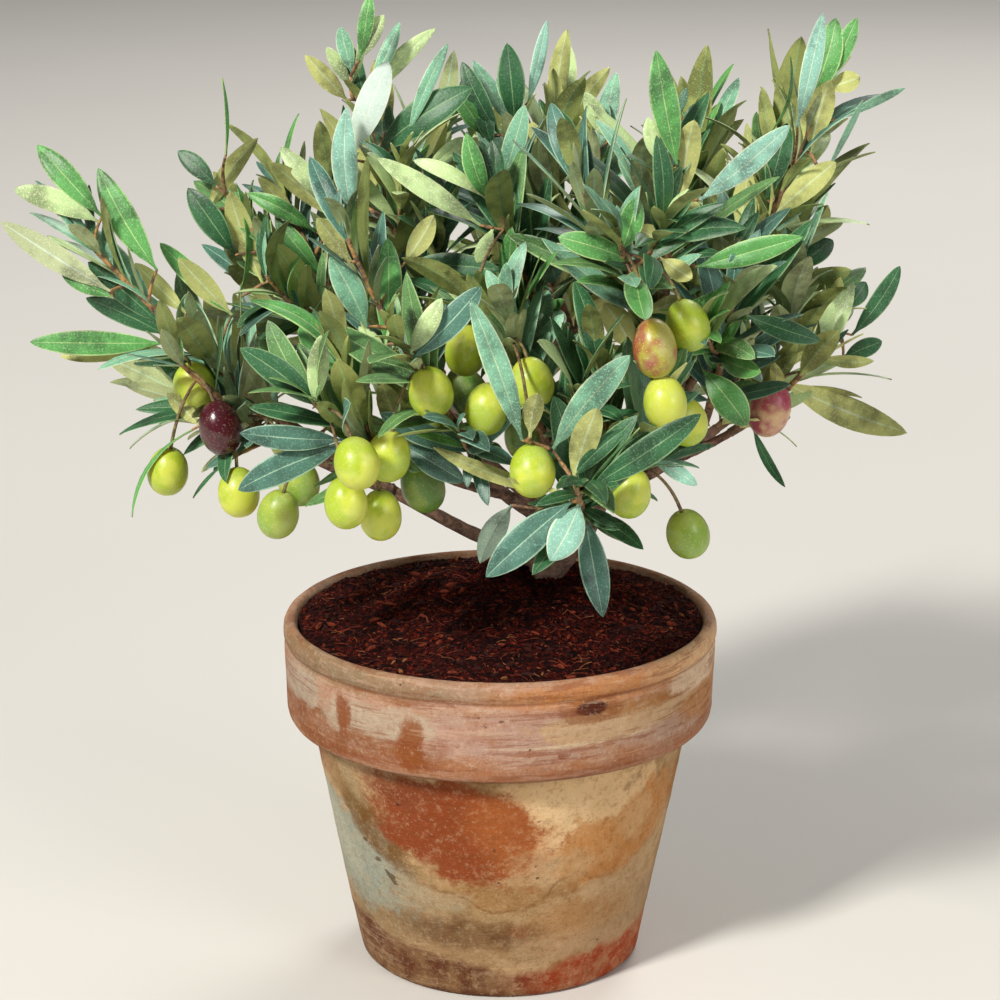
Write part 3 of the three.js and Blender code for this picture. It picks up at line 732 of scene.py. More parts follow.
LAID = {
    "far_left": [
        Laid((102, 217), (37, 145), 26, 0.2),
        # Partly painted sheen: this leaf takes the pale young tone for the sheen on its upper side.
        Laid((97, 222), (14, 189), 24, -0.1, Tone.YOUNG),
        Laid((157, 270), (98, 168), 30, 0.25),
        Laid((110, 291), (1, 222), 26, -0.1, Tone.MIST, Side.UNDER, depth=-17),
        Laid((112, 297), (62, 275), 16, 0.1, depth=-15),
        Laid((160, 324), (88, 262), 24, -0.15, Tone.DARK),
        Laid((165, 335), (86, 298), 22, -0.2, Tone.DARK),
        Laid((162, 343), (30, 342), 26, -0.1),
        Laid((166, 348), (60, 356), 22, 0.2, Tone.YOUNG, Side.UNDER, turned=30),
        Laid((232, 315), (160, 243), 22, 0.2, turned=20, depth=5),
        Laid((231, 309), (178, 258), 24, -0.2, Tone.YOUNG, Side.UNDER, depth=5),
        Laid((186, 313), (135, 263), 20, 0, Tone.YOUNG, Side.UNDER, depth=7),
    ],
    "left_up": [
        Laid((216, 186), (178, 151), 20, 0.3, Tone.DARK),
        Laid((208, 212), (258, 138), 24, 0.3, Tone.YOUNG, Side.UNDER, turned=30),
        Laid((235, 255), (188, 188), 28, -0.05, Tone.DARK),
        Laid((263, 284), (230, 192), 26, -0.2, Tone.YOUNG, Side.UNDER),
        Laid((238, 298), (236, 183), 14, turned=60),
        Laid((226, 155), (222, 78), 10, 0.3, turned=70, depth=1),
    ],
    "back_left": [
        Laid((345, 213), (280, 147), 22, 0.1, Tone.YOUNG, turned=10),
        Laid((340, 222), (270, 163), 22, -0.2, Tone.YOUNG, Side.UNDER),
        Laid((316, 232), (247, 193), 20),
        Laid((318, 277), (275, 218), 22, 0.2),
    ],
    "tall_left": [
        Laid((348, 160), (388, 61), 30, 0, Tone.SILVER, depth=2),
        Laid((352, 215), (347, 107), 27, -0.1, Tone.MIST, depth=-6),
        Laid((328, 187), (343, 105), 20, 0, Tone.DARK, turned=65, depth=34),
        Laid((347, 100), (305, 55), 20, -0.1, Tone.YOUNG, Side.UNDER),
        Laid((350, 87), (327, 47), 16, 0.2, Tone.YOUNG, turned=20),
        Laid((352, 73), (340, 27), 17, 0.2, Tone.BLUE),
        Laid((352, 83), (360, 25), 11, 0, Tone.YOUNG, turned=40),
        Laid((360, 60), (370, -5), 16, 0.1, depth=-5),
        Laid((367, 57), (384, 15), 20, 0.2, Tone.YOUNG, depth=-5),
        Laid((370, 88), (400, 22), 16, 0.2, Tone.BLUE),
        Laid((366, 102), (436, 28), 19, 0.1, Tone.YOUNG),
        Laid((386, 130), (375, 60), 24, 0.3, Tone.YOUNG, Side.UNDER, depth=24),
        Laid((375, 155), (472, 88), 36, -0.15, Tone.DARK),
        Laid((408, 135), (448, 43), 15, 0.1, Tone.BLUE, depth=4),
        Laid((425, 170), (463, 137), 18, 0.2, Tone.YOUNG, turned=30),
    ],
    "leader": [
        Laid((500, 135), (462, 62), 22, 0.1, Tone.DARK),
        Laid((513, 127), (507, 43), 29, 0, Tone.DARK),
        Laid((528, 103), (547, 20), 15, 0.2, Tone.MIST, turned=30),
        Laid((483, 137), (455, 93), 22),
        Laid((493, 147), (482, 99), 20, 0.2, Tone.DARK),
        Laid((500, 188), (525, 105), 24, -0.1, Tone.BLUE, depth=13),
        Laid((530, 155), (533, 122), 20, 0.1, Tone.YOUNG, Side.UNDER),
    ],
    "crown_centre": [
        Laid((488, 200), (466, 133), 22, -0.1),
        Laid((495, 195), (492, 140), 18, 0.2, Tone.DARK),
        Laid((493, 228), (477, 263), 16, -0.3, Tone.YOUNG),
        Laid((485, 205), (413, 160), 16, 0, Tone.YOUNG, turned=20),
        Laid((480, 225), (377, 158), 22, -0.1, Tone.YOUNG),
        Laid((505, 270), (415, 263), 26, 0.2, Tone.DARK),
    ],
    "mid_left": [
        Laid((367, 327), (330, 255), 28, -0.1, Tone.BLUE),
        Laid((385, 345), (388, 238), 27, 0.1),
        Laid((350, 262), (317, 218), 20, 0, Tone.YOUNG, Side.UNDER),
        Laid((405, 262), (434, 215), 22, 0.3, Tone.YOUNG, Side.UNDER, depth=-40),
    ],
    "front_left": [
        Laid((415, 355), (481, 287), 26, 0.1, Tone.SLATE),
        Laid((410, 355), (442, 298), 20, 0, Tone.YOUNG),
    ],
    "crown_back": [
        Laid((610, 140), (585, 92), 20, 0.1, Tone.YOUNG),
        Laid((667, 197), (589, 103), 20, -0.2, Tone.YOUNG, turned=20),
        Laid((575, 165), (560, 110), 22, 0, Tone.DARK),
        Laid((622, 200), (565, 153), 20, -0.2, Tone.YOUNG, Side.UNDER),
        Laid((607, 232), (583, 190), 24, -0.2, Tone.YOUNG, Side.UNDER),
    ],
    "crown_right": [
        Laid((677, 165), (656, 50), 28, 0.1),
        Laid((655, 160), (648, 117), 16, 0.1, Tone.YOUNG),
        Laid((683, 200), (694, 120), 27, -0.2, Tone.YOUNG, Side.UNDER),
        Laid((700, 200), (790, 125), 25, -0.1, Tone.MIST, depth=-61),
        Laid((668, 240), (699, 203), 26, -0.3, Tone.YOUNG, Side.UNDER),
        Laid((662, 243), (636, 228), 22, -0.3, Tone.YOUNG, Side.UNDER),
        Laid((697, 267), (803, 237), 25, -0.2, depth=-52),
    ],
    "high_back_right": [
        Laid((680, 115), (686, 88), 10, 0.1, Tone.BLUE),
        Laid((680, 130), (698, 103), 14, 0.1, Tone.DARK),
    ],
    "centre_right": [
        Laid((633, 262), (558, 237), 24, -0.2),
        Laid((615, 250), (637, 197), 24, 0.1),
        Laid((660, 258), (692, 279), 20, -0.3, Tone.YOUNG, Side.UNDER),
        Laid((633, 350), (604, 303), 29, -0.2, Tone.YOUNG, Side.UNDER),
        Laid((640, 315), (686, 300), 18, -0.3, Tone.YOUNG, Side.UNDER),
        Laid((655, 310), (720, 290), 12, -0.1, turned=40),
    ],
    "tall_right": [
        Laid((797, 127), (823, 13), 20, 0, Tone.MIST, turned=10, depth=0),
        Laid((805, 110), (836, 18), 29, 0.15),
        Laid((833, 77), (857, 18), 19, 0.15),
        Laid((828, 90), (860, 77), 22, -0.2, Tone.YOUNG, Side.UNDER),
        Laid((810, 153), (830, 80), 28, -0.2, Tone.YOUNG, Side.UNDER),
        Laid((763, 140), (790, 55), 16, 0.1, turned=70),
        Laid((838, 120), (905, 88), 12, 0.2, Tone.BLUE, turned=50),
        Laid((822, 180), (863, 100), 14, 0, Tone.BLUE, turned=65),
        Laid((770, 215), (836, 162), 26, -0.2, Tone.YOUNG, Side.UNDER),
        Laid((767, 200), (787, 123), 26, 0.2, Tone.DARK),
    ],
    "high_right": [
        Laid((797, 270), (833, 240), 24, 0.1, Tone.DARK),
        Laid((810, 235), (828, 205), 18, 0, Tone.YOUNG, Side.UNDER),
    ],
    "right": [
        Laid((852, 335), (900, 266), 21, 0.1, Tone.DARK, depth=28),
        Laid((845, 310), (866, 282), 20, 0.2, Tone.DARK, depth=30),
        Laid((843, 357), (882, 341), 20, -0.1, Tone.DARK, depth=26),
        Laid((820, 358), (874, 361), 14, -0.1, Tone.YOUNG, Side.UNDER, depth=24),
    ],
    "low_right": [
        Laid((780, 380), (907, 433), 34, 0, Tone.YOUNG, Side.UNDER, depth=3),
        Laid((753, 427), (785, 487), 14, -0.2, Tone.DARK, turned=40),
    ],
    "side_right": [
        Laid((703, 370), (747, 425), 33, -0.3),
        Laid((745, 315), (820, 341), 22, -0.2, Tone.DARK),
    ],
    "right_front": [
        Laid((652, 460), (697, 485), 16, -0.3, Tone.MIST),
    ],
    "front": [
        Laid((588, 488), (701, 414), 27, -0.15, Tone.DARK, depth=-116),
        Laid((583, 489), (640, 428), 11, -0.1, turned=55, depth=-116),
        Laid((560, 491), (508, 478), 10, -0.1, Tone.YOUNG, Side.UNDER, turned=40, depth=-112),
        Laid((572, 478), (628, 427), 18, -0.1, Tone.DARK, depth=-114),
        Laid((552, 450), (630, 355), 29, 0, Tone.BLUE, depth=-106),
        Laid((567, 482), (597, 408), 27, -0.3, Tone.YOUNG, Side.UNDER, depth=-116),
        Laid((522, 440), (470, 299), 25, -0.05, Tone.BLUE, depth=-110),
        Laid((530, 437), (538, 393), 20, -0.2, Tone.YOUNG, Side.UNDER, depth=-112),
        Laid((571, 502), (486, 577), 34, -0.2, Tone.SLATE),
        Laid((577, 503), (550, 561), 34, -0.45, Tone.MIST),
        Laid((585, 516), (603, 617), 29, -0.3, Tone.SLATE, depth=-64),
        Laid((512, 505), (480, 563), 24, 0, Tone.DRY, Side.UNDER, depth=-82),
        Laid((560, 493), (433, 447), 16, 0, Tone.YOUNG, Side.UNDER, turned=20, depth=-77),
    ],
    "left_front": [
        Laid((400, 443), (465, 482), 26, -0.2, Tone.SLATE),
        Laid((343, 447), (238, 490), 30, -0.2, Tone.SLATE),
        Laid((343, 440), (240, 433), 25, -0.2, Tone.SLATE),
        Laid((313, 412), (240, 348), 27, -0.1, Tone.DARK),
        Laid((313, 403), (321, 335), 21, 0, Tone.YOUNG),
    ],
    "low_left": [
        Laid((192, 430), (132, 517), 14, -0.1, turned=70),
        Laid((223, 465), (193, 498), 10, -0.1, Tone.DARK, turned=60),
        Laid((197, 425), (167, 393), 18, 0, Tone.YOUNG, Side.UNDER),
        Laid((325, 427), (253, 405), 18, 0, Tone.YOUNG, turned=30),
    ],
}


@dataclass(frozen=True)
class LeafFinish:
    """The skin of one surface of the leaves of one tone."""

    tone: Tone
    side: Side

    def material(self) -> bpy.types.Material:
        """Makes the material: fine pale scales over the tone's colour, and a soft shine above.

        Returns:
            The material.
        """
        book = Book(f"leaf_{self.tone.name}_{self.side.name}".lower())
        colour = paint(self.tone.value[self.side.value])
        scales = book.noise(1500, 3, 0.7).between(0.52, 0.66)
        patches = book.noise(60, 3, 0.6)
        pale = (*(min(1.0, part * 1.8 + 0.12) for part in colour[:3]), 1.0)
        # The palest tone keeps its painted sheen in its darker patches too.
        dark = dimmed(colour, 0.8 if self.tone is Tone.SILVER else 0.42)
        shaded = book.mix(patches.between(0.34, 0.58), dark, colour)
        is_upper = self.side is Side.UPPER
        tinted = book.mix(scales * (0.5 if is_upper else 0.3), shaded, pale)
        rough = {Side.UPPER: 0.42, Side.UNDER: 0.66, Side.RIB: 0.5}[self.side]
        relief = book.noise(900, 3, 0.6)
        shine = 0.5 if is_upper else 0.25
        return book.finish(tinted, scales * 0.12 + rough, relief, 0.00012, Specular_IOR_Level=shine)


@dataclass(frozen=True)
class OliveFinish:
    """The skin of an olive: two blended colours with pale dots and a waxy shine."""

    ripeness: Ripeness

    def material(self) -> bpy.types.Material:
        """Makes the material.

        Returns:
            The material.
        """
        main, second, share, dust = self.ripeness.value
        book = Book(f"olive_{self.ripeness.name}".lower())
        flush = book.noise(52, 3, 0.6).between(0.44, 0.58)
        skin = book.mix(flush * (share * 2), paint(main), paint(second))
        dots = book.cells(900).between(0.3, 0.12)
        dotted = book.mix(dots * (0.15 + dust * 1.6), skin, paint(0xD9D9A0))
        bloom = book.noise(140, 4, 0.6).between(0.4, 0.75)
        bloomed = book.mix(bloom * dust, dotted, paint(0xC8CDB8))
        is_glossy = dust < 0.1
        rough = bloom * 0.22 + (0.18 if is_glossy else 0.34)
        wax = {"Subsurface_Weight": 0.12, "Coat_Weight": 0.4 if is_glossy else 0.08}
        return book.finish(bloomed, rough, dots, 0.00006, **wax)


@dataclass(frozen=True)
class WoodFinish:
    """Bark that runs from a young twig's colour to an old bough's with the wood's age."""

    name: str
    young: int
    old: int

    def material(self) -> bpy.types.Material:
        """Makes the material: streaks, specks and flakes over the colour of the wood's age.

        Returns:
            The material.
        """
        book = Book(self.name)
        age = book.node("ShaderNodeAttribute", {"attribute_name": "age"}, None, "Fac")
        base = book.mix(age, paint(self.young), paint(self.old))
        grain = book.noise(350, 5, 0.65)
        fissures = book.noise(90, 4, 0.7).between(0.42, 0.6)
        darker = book.mix(grain.between(0.35, 0.65), paint(0x4A352A), base)
        pale = book.mix(fissures * 0.3, darker, paint(0x94796A))
        specks = book.cells(700).between(0.22, 0.08)
        speckled = book.mix(specks * 0.35, pale, paint(0xC9B9A2))
        return book.finish(speckled, 0.78 + grain * 0.15, grain + fissures * 0.5, 0.0006)


# The crown


@dataclass
class Shoot:
    """A growing shoot: its line, where on it the twig starts, and its number."""

    curve: Curve
    start: float
    radius: float
    rank: int
    seed: int
    tone: Tone

    def point(self, share: float) -> Vector:
        """The point at a share of the shoot."""
        return self.curve.point(blend(self.start, 1, share))

    def way(self, share: float) -> Vector:
        """The direction at a share of the shoot."""
        return self.curve.way(blend(self.start, 1, share))


@dataclass
class Leaf:
    """The place, size, tone and number of one leaf, and its width as a share of its length."""

    root: Vector
    way: Vector
    face: Vector
    length: float
    tone: Tone
    chance: int
    broad: float = 0.25


@dataclass
class Crowd:
    """Low stand-ins of everything that is settled, to test whether a new piece crosses it."""

    room: int = 6000
    count: int = 0
    shapes: list[tuple[np.ndarray, list, int, int]] = field(default_factory=list)

    def __post_init__(self) -> None:
        """Makes room for the boxes."""
        self.low = np.zeros((self.room, 3))
        self.high = np.zeros((self.room, 3))

    def add(self, corners: np.ndarray, faces: list, node: int = -1, twig: int = -1) -> None:
        """Settles a piece.

        Args:
            corners: its corners.
            faces: its faces.
            node: the number of the node that it grows at.
            twig: the number of the shoot that it is the twig of.
        """
        self.low[self.count] = corners.min(0)
        self.high[self.count] = corners.max(0)
        self.shapes.append((corners, faces, node, twig))
        self.count += 1

    def is_clear(self, corners: np.ndarray, faces: list, node: int, twig: int) -> bool:
        """Tests a new piece.

        Args:
            corners: its corners.
            faces: its faces.
            node: the number of its node, whose other pieces it may touch.
            twig: the number of the shoot that it grows on, which it may touch.

        Returns:
            Whether it crosses nothing that is settled.
        """
        low, high = corners.min(0), corners.max(0)
        near = (self.low[: self.count] <= high).all(1) & (self.high[: self.count] >= low).all(1)
        points: list = []
        polygons: list = []
        for i in np.flatnonzero(near):
            its_corners, its_faces, its_node, its_twig = self.shapes[i]
            if its_node == node or its_twig == twig:
                continue
            polygons += [[k + len(points) for k in face] for face in its_faces]
            points += its_corners.tolist()
        if not polygons:
            return True
        mine = BVHTree.FromPolygons(corners.tolist(), faces)
        return not mine.overlap(BVHTree.FromPolygons(points, polygons))


@dataclass
class Mass:
    """One mass of the crown: its line, its stem, and the shoots and leaves that it has so far. The
    twigs of the laid leaves are kept apart."""

    line: Line
    stem: Shoot
    shoots: list[Shoot] = field(default_factory=list)
    laid: list[Shoot] = field(default_factory=list)
    leaves: list[Leaf] = field(default_factory=list)


class Bud(NamedTuple):
    """Where a leaf or a side shoot may grow: on which shoot, at what share of it and how far round
    it, with its node's stream and number, and its size against the rule's."""

    shoot: Shoot
    share: float
    turn: float
    chance: Stream
    node: int
    scale: float = 1.0


@dataclass
class Growth:
    """The rule by which shoots, leaves and finer shoots grow, and its sizes.

    The solids' rule comes first, then that of the fine shoots, the pairs of leaves at the tips, the
    small leaves that fill the gaps and the laid leaves, and the room that wood and olives keep. The
    numbers called seeds keep the streams of different kinds of bud apart.
    """

    node_spacing: float = 15.4
    stem_first: float = 0.4
    side_first: float = 0.6
    last: float = 0.3
    turn_spread: float = 0.7
    node_numbers: int = 50
    stem_start: float = 0.3
    stem_radius: float = 2.2
    side_radius: float = 1.2
    side_length: float = 46
    side_angle: float = 46
    side_tries: int = 4
    leaf_length: float = 51
    leaf_angles: tuple[float, float] = (64, 24)
    leaf_bend: float = 0.07
    leaf_tries: int = 7
    shrink: float = 0.92
    skirt: float = 186
    spread: float = 66
    mixed: float = 0.3
    fine_radius: float = 0.75
    fine_share: float = 0.62
    fine_step: float = 0.45
    fine_nodes: int = 3
    fine_leaf: float = 0.8
    fine_seeds: int = 7_000_000
    fine_leaf_seeds: int = 9_000_000
    tip_leaf: float = 0.62
    tip_share: float = 0.99
    tip_seeds: int = 30_000_000
    fill_spacing: float = 6
    fill_leaf: float = 0.66
    fill_tries: int = 3
    fill_seeds: int = 50_000_000
    laid_radius: float = 0.9
    snap: float = 3.0
    on_limb: float = 2.0
    picture_scale: float = 2.55
    sight: float = 60.0
    trunk_room: float = 6.0
    bough_room: float = 2.6
    twig_room: float = 1.8
    olive_room: tuple[float, float] = (8, 11)
    olive_front: tuple[float, float] = (6, 7)
    front: Vector = field(default_factory=lambda: Vector((0, -0.96, 0.28)))
    crowd: Crowd = field(default_factory=Crowd)
    curves: dict[str, Curve] = field(default_factory=dict)
    masses: dict[str, Mass] = field(default_factory=dict)

    def lay_lines(self, trunk: Curve) -> None:
        """Lays the growth lines.

        Args:
            trunk: the trunk's line.
        """
        for name, line in LINES.items():
            parent = trunk if line.parent == "trunk" else self.curves[line.parent]
            start = parent.point(line.at)
            tip = HEART + heading(line.azimuth, line.rise) * line.reach
            x, y = (blend(start[k], tip[k], 0.58) for k in (0, 1))
            self.curves[name] = Curve(start, Vector((x, y, blend(start.z, tip.z, 0.34))), tip)

    def settle(self, trunk: Curve) -> None:
        """Settles the wood and the olives, which have their places first.

        Args:
            trunk: the trunk's line.
        """
        self._settle_tube(trunk.points(0, 1, 6), self.trunk_room)
        for name, line in LINES.items():
            curve = self.curves[name]
            self._settle_tube(curve.points(0, line.bare, 6), self.bough_room)
            self._settle_tube(curve.points(line.bare, 1, 6), self.twig_room, line.seed)
            for x, y, z, ripeness in FRUIT.get(name, []):
                self._settle_olive((x, y, z), ripeness is not Ripeness.GREEN and y < 0)

    def _settle_tube(self, path: np.ndarray, radius: float, twig: int = -1) -> None:
        """Settles a twig or limb as a tube of three sides."""
        corners, faces = tube(path, np.full(len(path), radius), 3)
        self.crowd.add(corners, as_lists(faces), twig=twig)

    def _settle_olive(self, middle: tuple[float, float, float], shows: bool) -> None:
        """Settles an olive as a ball of eight faces.

        Args:
            middle: its middle.
            shows: whether the room in front of it is kept free too.
        """
        wide, tall = self.olive_room
        points = ((-wide, 0, 0), (wide, 0, 0), (0, -wide, 0), (0, wide, 0), (0, 0, -tall), (0, 0, tall))
        sides = [(a, b, c) for a in (0, 1) for b in (2, 3) for c in (4, 5)]
        self.crowd.add(np.array(points) + middle, sides)
        if shows:
            half, high = self.olive_front
            square = [(x, -wide, z) for z in (-high, high) for x in (-half, half)]
            self._keep_in_sight(np.array(square) + middle)

    def grow(self) -> None:
        """Grows every mass: the laid leaves, the solids' rule, then finer shoots and tips."""
        for name, line in LINES.items():
            curve = self.curves[name]
            start = line.bare + self.stem_start / curve.length()
            tone = Tone.DARK if name == "front" else dealt_tone(line.seed)
            stem = Shoot(curve, start, self.stem_radius, 0, line.seed, tone)
            self.masses[name] = Mass(line, stem)
            self._lay(self.masses[name], LAID.get(name, []))
        masses = self.masses.values()
        for mass in masses:
            self._grow_shoot(mass, mass.stem)
        for mass in masses:
            for shoot in list(mass.shoots):
                self._refine(mass, shoot)
        for mass in masses:
            for shoot in mass.shoots + mass.laid:
                self._fill(mass, shoot)
        total = sum(len(mass.leaves) for mass in masses)
        twigs = sum(len(mass.shoots + mass.laid) for mass in masses)
        LOG.info("crown: %d leaves on %d shoots", total, twigs)

    def _lay(self, mass: Mass, laid: Sequence[Laid]) -> None:
        """Lays the leaves that have places of their own, with the twigs that carry them.

        Args:
            mass: the mass.
            laid: its leaves.
        """
        curve = mass.stem.curve
        wood = [(curve.point(t), curve.way(t)) for t in np.linspace(0.15, 1, 60)]
        for number, spot in enumerate(laid):
            root, tip = self._place(curve, spot)
            hold, way = min(wood, key=lambda place: self._reach(place, root))
            if (hold - root).length > self.snap:
                bend = hold.lerp(root, 0.5) + (way - UP * 0.2) * ((hold - root).length * 0.14)
                twig = Shoot(Curve(hold, bend, root), 0, self.laid_radius, 2, number, spot.tone)
                mass.laid.append(twig)
                self._settle_tube(twig.curve.points(0.1, 1, 4), self.laid_radius)
                wood += [(twig.point(t), twig.way(t)) for t in (0.4, 0.6, 0.8, 1)]
            else:
                root = hold
            leaf = self._laid_leaf(spot, root, tip, mass.line.seed * 100 + number)
            mass.leaves.append(leaf)
            self._keep_in_sight(self.flat_leaf(leaf))

    def _laid_leaf(self, spot: Laid, root: Vector, tip: Vector, seed: int) -> Leaf:
        """Turns a laid leaf so that it shows its side to the front.

        Args:
            spot: the leaf as it is laid.
            root: its root.
            tip: its tip.
            seed: its number.

        Returns:
            The leaf.
        """
        length = (tip - root).length
        away = (tip - root).normalized()
        shown = self.front if spot.shows is Side.UPPER else -self.front
        face = (shown - away * shown.dot(away)).normalized()
        turned = math.radians(spot.turned)
        face = face * math.cos(turned) + away.cross(face) * math.sin(turned)
        return Leaf(root, away, face, length, spot.tone, seed, spot.width / self.picture_scale / length)

    def _place(self, limb: Curve, spot: Laid) -> tuple[Vector, Vector]:
        """Works out where a laid leaf stands from its places in the photograph.

        Args:
            limb: the line of its mass.
            spot: the leaf.

        Returns:
            Its root and its tip.
        """
        points = [limb.point(t) for t in np.linspace(0, 1, 120)]
        near = min(points, key=lambda point: math.dist(VIEW.seen(point), spot.root))
        root = VIEW.point(spot.root, near.y if spot.depth is None else spot.depth)
        if spot.depth is None and (root - near).length < self.on_limb:
            root = near
        tip = root
        for _ in range(5):
            tip = VIEW.point(spot.tip, root.y + spot.lean * (tip - root).length)
        return root, tip

    def _keep_in_sight(self, corners: np.ndarray) -> None:
        """Settles a leaf or an olive with the room in front of it, so that nothing grows there.

        Args:
            corners: the root, the two sides and the tip of the leaf, or the olive's corners.
        """
        ring = corners[[0, 1, 3, 2]]
        prism = np.concatenate([ring, ring + np.array(self.front) * self.sight])
        walls = [(k, (k + 1) % 4, (k + 1) % 4 + 4, k + 4) for k in range(4)]
        self.crowd.add(prism, [(0, 1, 2, 3), (4, 5, 6, 7), *walls])

    @staticmethod
    def _reach(place: tuple[Vector, Vector], root: Vector) -> float:
        """How unfit a place on the wood is to carry a twig to a leaf's root.

        Args:
            place: a point of the wood and its direction there.
            root: the leaf's root.

        Returns:
            The twig's length, and more where it would run back along the wood.
        """
        gap = root - place[0]
        return gap.length + 0.8 * max(0.0, 0.5 * gap.length - gap.dot(place[1]))

    def _grow_shoot(self, mass: Mass, shoot: Shoot) -> None:
        """Grows what a shoot carries.

        Args:
            mass: the mass.
            shoot: its stem or one of its side shoots.
        """
        mass.shoots.append(shoot)
        nodes = self.nodes_of(shoot)
        first_turn = Stream(shoot.seed)() * math.pi
        for i in range(1, nodes + 1):
            node = shoot.seed * self.node_numbers + i
            chance = Stream(node)
            share = self.share_of(shoot, i, nodes)
            turn = first_turn + i * math.pi / 2 + chance.scatter(self.turn_spread)
            for opposite in (0, math.pi):
                self._fit_leaf(mass, Bud(shoot, share, turn + opposite, chance, node))
            if shoot.rank or i == nodes or i % 2 != 1:
                continue
            side = self._fit_side(mass, Bud(shoot, share, turn, chance, node))
            if side is not None:
                self._grow_shoot(mass, side)

    def _refine(self, mass: Mass, shoot: Shoot) -> None:
        """Carries a shoot to finer ones: a tip, and short shoots at its nodes that have none.

        Args:
            mass: the mass.
            shoot: its stem or one of its side shoots.
        """
        nodes = self.nodes_of(shoot)
        for i in range(1, nodes + 1):
            node = shoot.seed * self.node_numbers + i
            chance = Stream(node * 13 + 7)
            for k in range(2 - min(shoot.rank, 1)):
                share = self.share_of(shoot, i - self.fine_step * k, nodes)
                turn = chance() * math.tau
                self._fit_fine(mass, Bud(shoot, share, turn, chance, node * 2 + k, self.fine_share))
        self._fit_tip(mass, shoot)

    def _fill(self, mass: Mass, shoot: Shoot) -> None:
        """Grows small leaves from the axils of a shoot, where there is still room.

        Args:
            mass: the mass.
            shoot: one of its shoots.
        """
        count = max(2, round(shoot.curve.length() * (1 - shoot.start) / self.fill_spacing))
        for i in range(count):
            node = shoot.seed * 64 + i + self.fill_seeds
            chance = Stream(node)
            share = (i + 0.6) / count
            turn = chance() * math.tau
            for go in range(self.fill_tries):
                around = turn + go * math.tau / self.fill_tries
                scale = self.fill_leaf * (0.75 + 0.6 * chance())
                self._fit_leaf(mass, Bud(shoot, share, around, chance, node, scale))

    def _fit_fine(self, mass: Mass, bud: Bud) -> None:
        """Grows a short fine shoot and its leaves where there is room for them.

        Args:
            mass: the mass.
            bud: where it may grow.
        """
        side = self._fit_side(mass, bud)
        if side is None:
            return
        side.rank, side.radius, side.seed = 2, self.fine_radius, bud.node + self.fine_seeds
        before = len(mass.leaves)
        for k in range(1, self.fine_nodes + 1):
            share = k / (self.fine_nodes + self.last)
            node = bud.node * 8 + k + self.fine_leaf_seeds
            for opposite in (0, math.pi):
                turn = bud.turn + k * math.pi / 2 + opposite
                self._fit_leaf(mass, Bud(side, share, turn, bud.chance, node, self.fine_leaf))
        self._fit_tip(mass, side)
        if len(mass.leaves) > before + 1:
            mass.shoots.append(side)
        else:
            del mass.leaves[before:]

    def _fit_tip(self, mass: Mass, shoot: Shoot) -> None:
        """Ends a shoot in a pair of small, steep young leaves.

        Args:
            mass: the mass.
            shoot: one of its shoots.
        """
        chance = Stream(shoot.seed * 17 + 3)
        turn = chance() * math.tau
        node = shoot.seed * 4 + self.tip_seeds
        for opposite in (0, math.pi):
            bud = Bud(shoot, self.tip_share, turn + opposite, chance, node, self.tip_leaf)
            self._fit_leaf(mass, bud)

    def nodes_of(self, shoot: Shoot) -> int:
        """How many nodes a shoot has."""
        length = shoot.curve.length() * (1 - shoot.start)
        return max(2, math.floor(length / self.node_spacing + 0.5))

    def share_of(self, shoot: Shoot, i: float, nodes: int) -> float:
        """The share of a shoot at which a node stands, or a place between two."""
        first = self.side_first if shoot.rank else self.stem_first
        return (i - 1 + first) / (nodes - self.last)

    def _has_room(self, mass: Mass, bud: Bud, corners: np.ndarray, faces: list) -> bool:
        """Whether a piece lies within its mass and crosses nothing that is settled.

        Args:
            mass: the mass.
            bud: where it grows.
            corners: its corners.
            faces: its faces.

        Returns:
            Whether there is room for it.
        """
        middle = Vector((corners.min(0) + corners.max(0)) / 2)
        along = (mass.stem.point(t) for t in (0, 0.25, 0.5, 0.75, 1))
        if corners[:, 2].min() <= self.skirt:
            return False
        if not any((point - middle).length < self.spread for point in along):
            return False
        return self.crowd.is_clear(corners, faces, bud.node, bud.shoot.seed)

    def _fit_leaf(self, mass: Mass, bud: Bud) -> None:
        """Grows a leaf where there is room for it, smaller at each try.

        Args:
            mass: the mass.
            bud: where it may grow.
        """
        shoot, share, turn, chance, node, scale = bud
        way = shoot.way(share)
        for go in range(self.leaf_tries):
            angle = blend(*self.leaf_angles, share) + chance.scatter(24)
            size = 0.6 + 0.46 * math.sin(math.pi * (0.15 + 0.75 * share)) + chance.scatter(0.24)
            away = leaving(way, out_of(way, turn + chance.scatter(0.8)), angle, 0.2)
            face = way + UP * (0.35 + chance.scatter(0.8))
            face = (face - away * face.dot(away)).normalized()
            length = self.leaf_length * size * scale * self.shrink**go
            broad = 0.2 + 0.055 * chance()
            number = node * 2 + (turn > 3)
            tone = dealt_tone(number) if chance() < self.mixed else shoot.tone
            leaf = Leaf(shoot.point(share), away, face, length, tone, number, broad)
            corners = self.flat_leaf(leaf)
            faces = [(0, 1, 2), (1, 3, 2)]
            if self._has_room(mass, bud, corners, faces):
                self.crowd.add(corners, faces, node)
                mass.leaves.append(leaf)
                return

    def flat_leaf(self, leaf: Leaf) -> np.ndarray:
        """The flat stand-in of a leaf.

        Args:
            leaf: the leaf.

        Returns:
            Its root, its two sides and its tip, one a row.
        """
        across = leaf.way.cross(leaf.face) * (leaf.length * leaf.broad * 0.46)
        middle = leaf.root + leaf.way * (leaf.length * 0.5) + leaf.face * (leaf.length * self.leaf_bend)
        tip = leaf.root + leaf.way * leaf.length
        return np.array([leaf.root, middle - across, middle + across, tip])

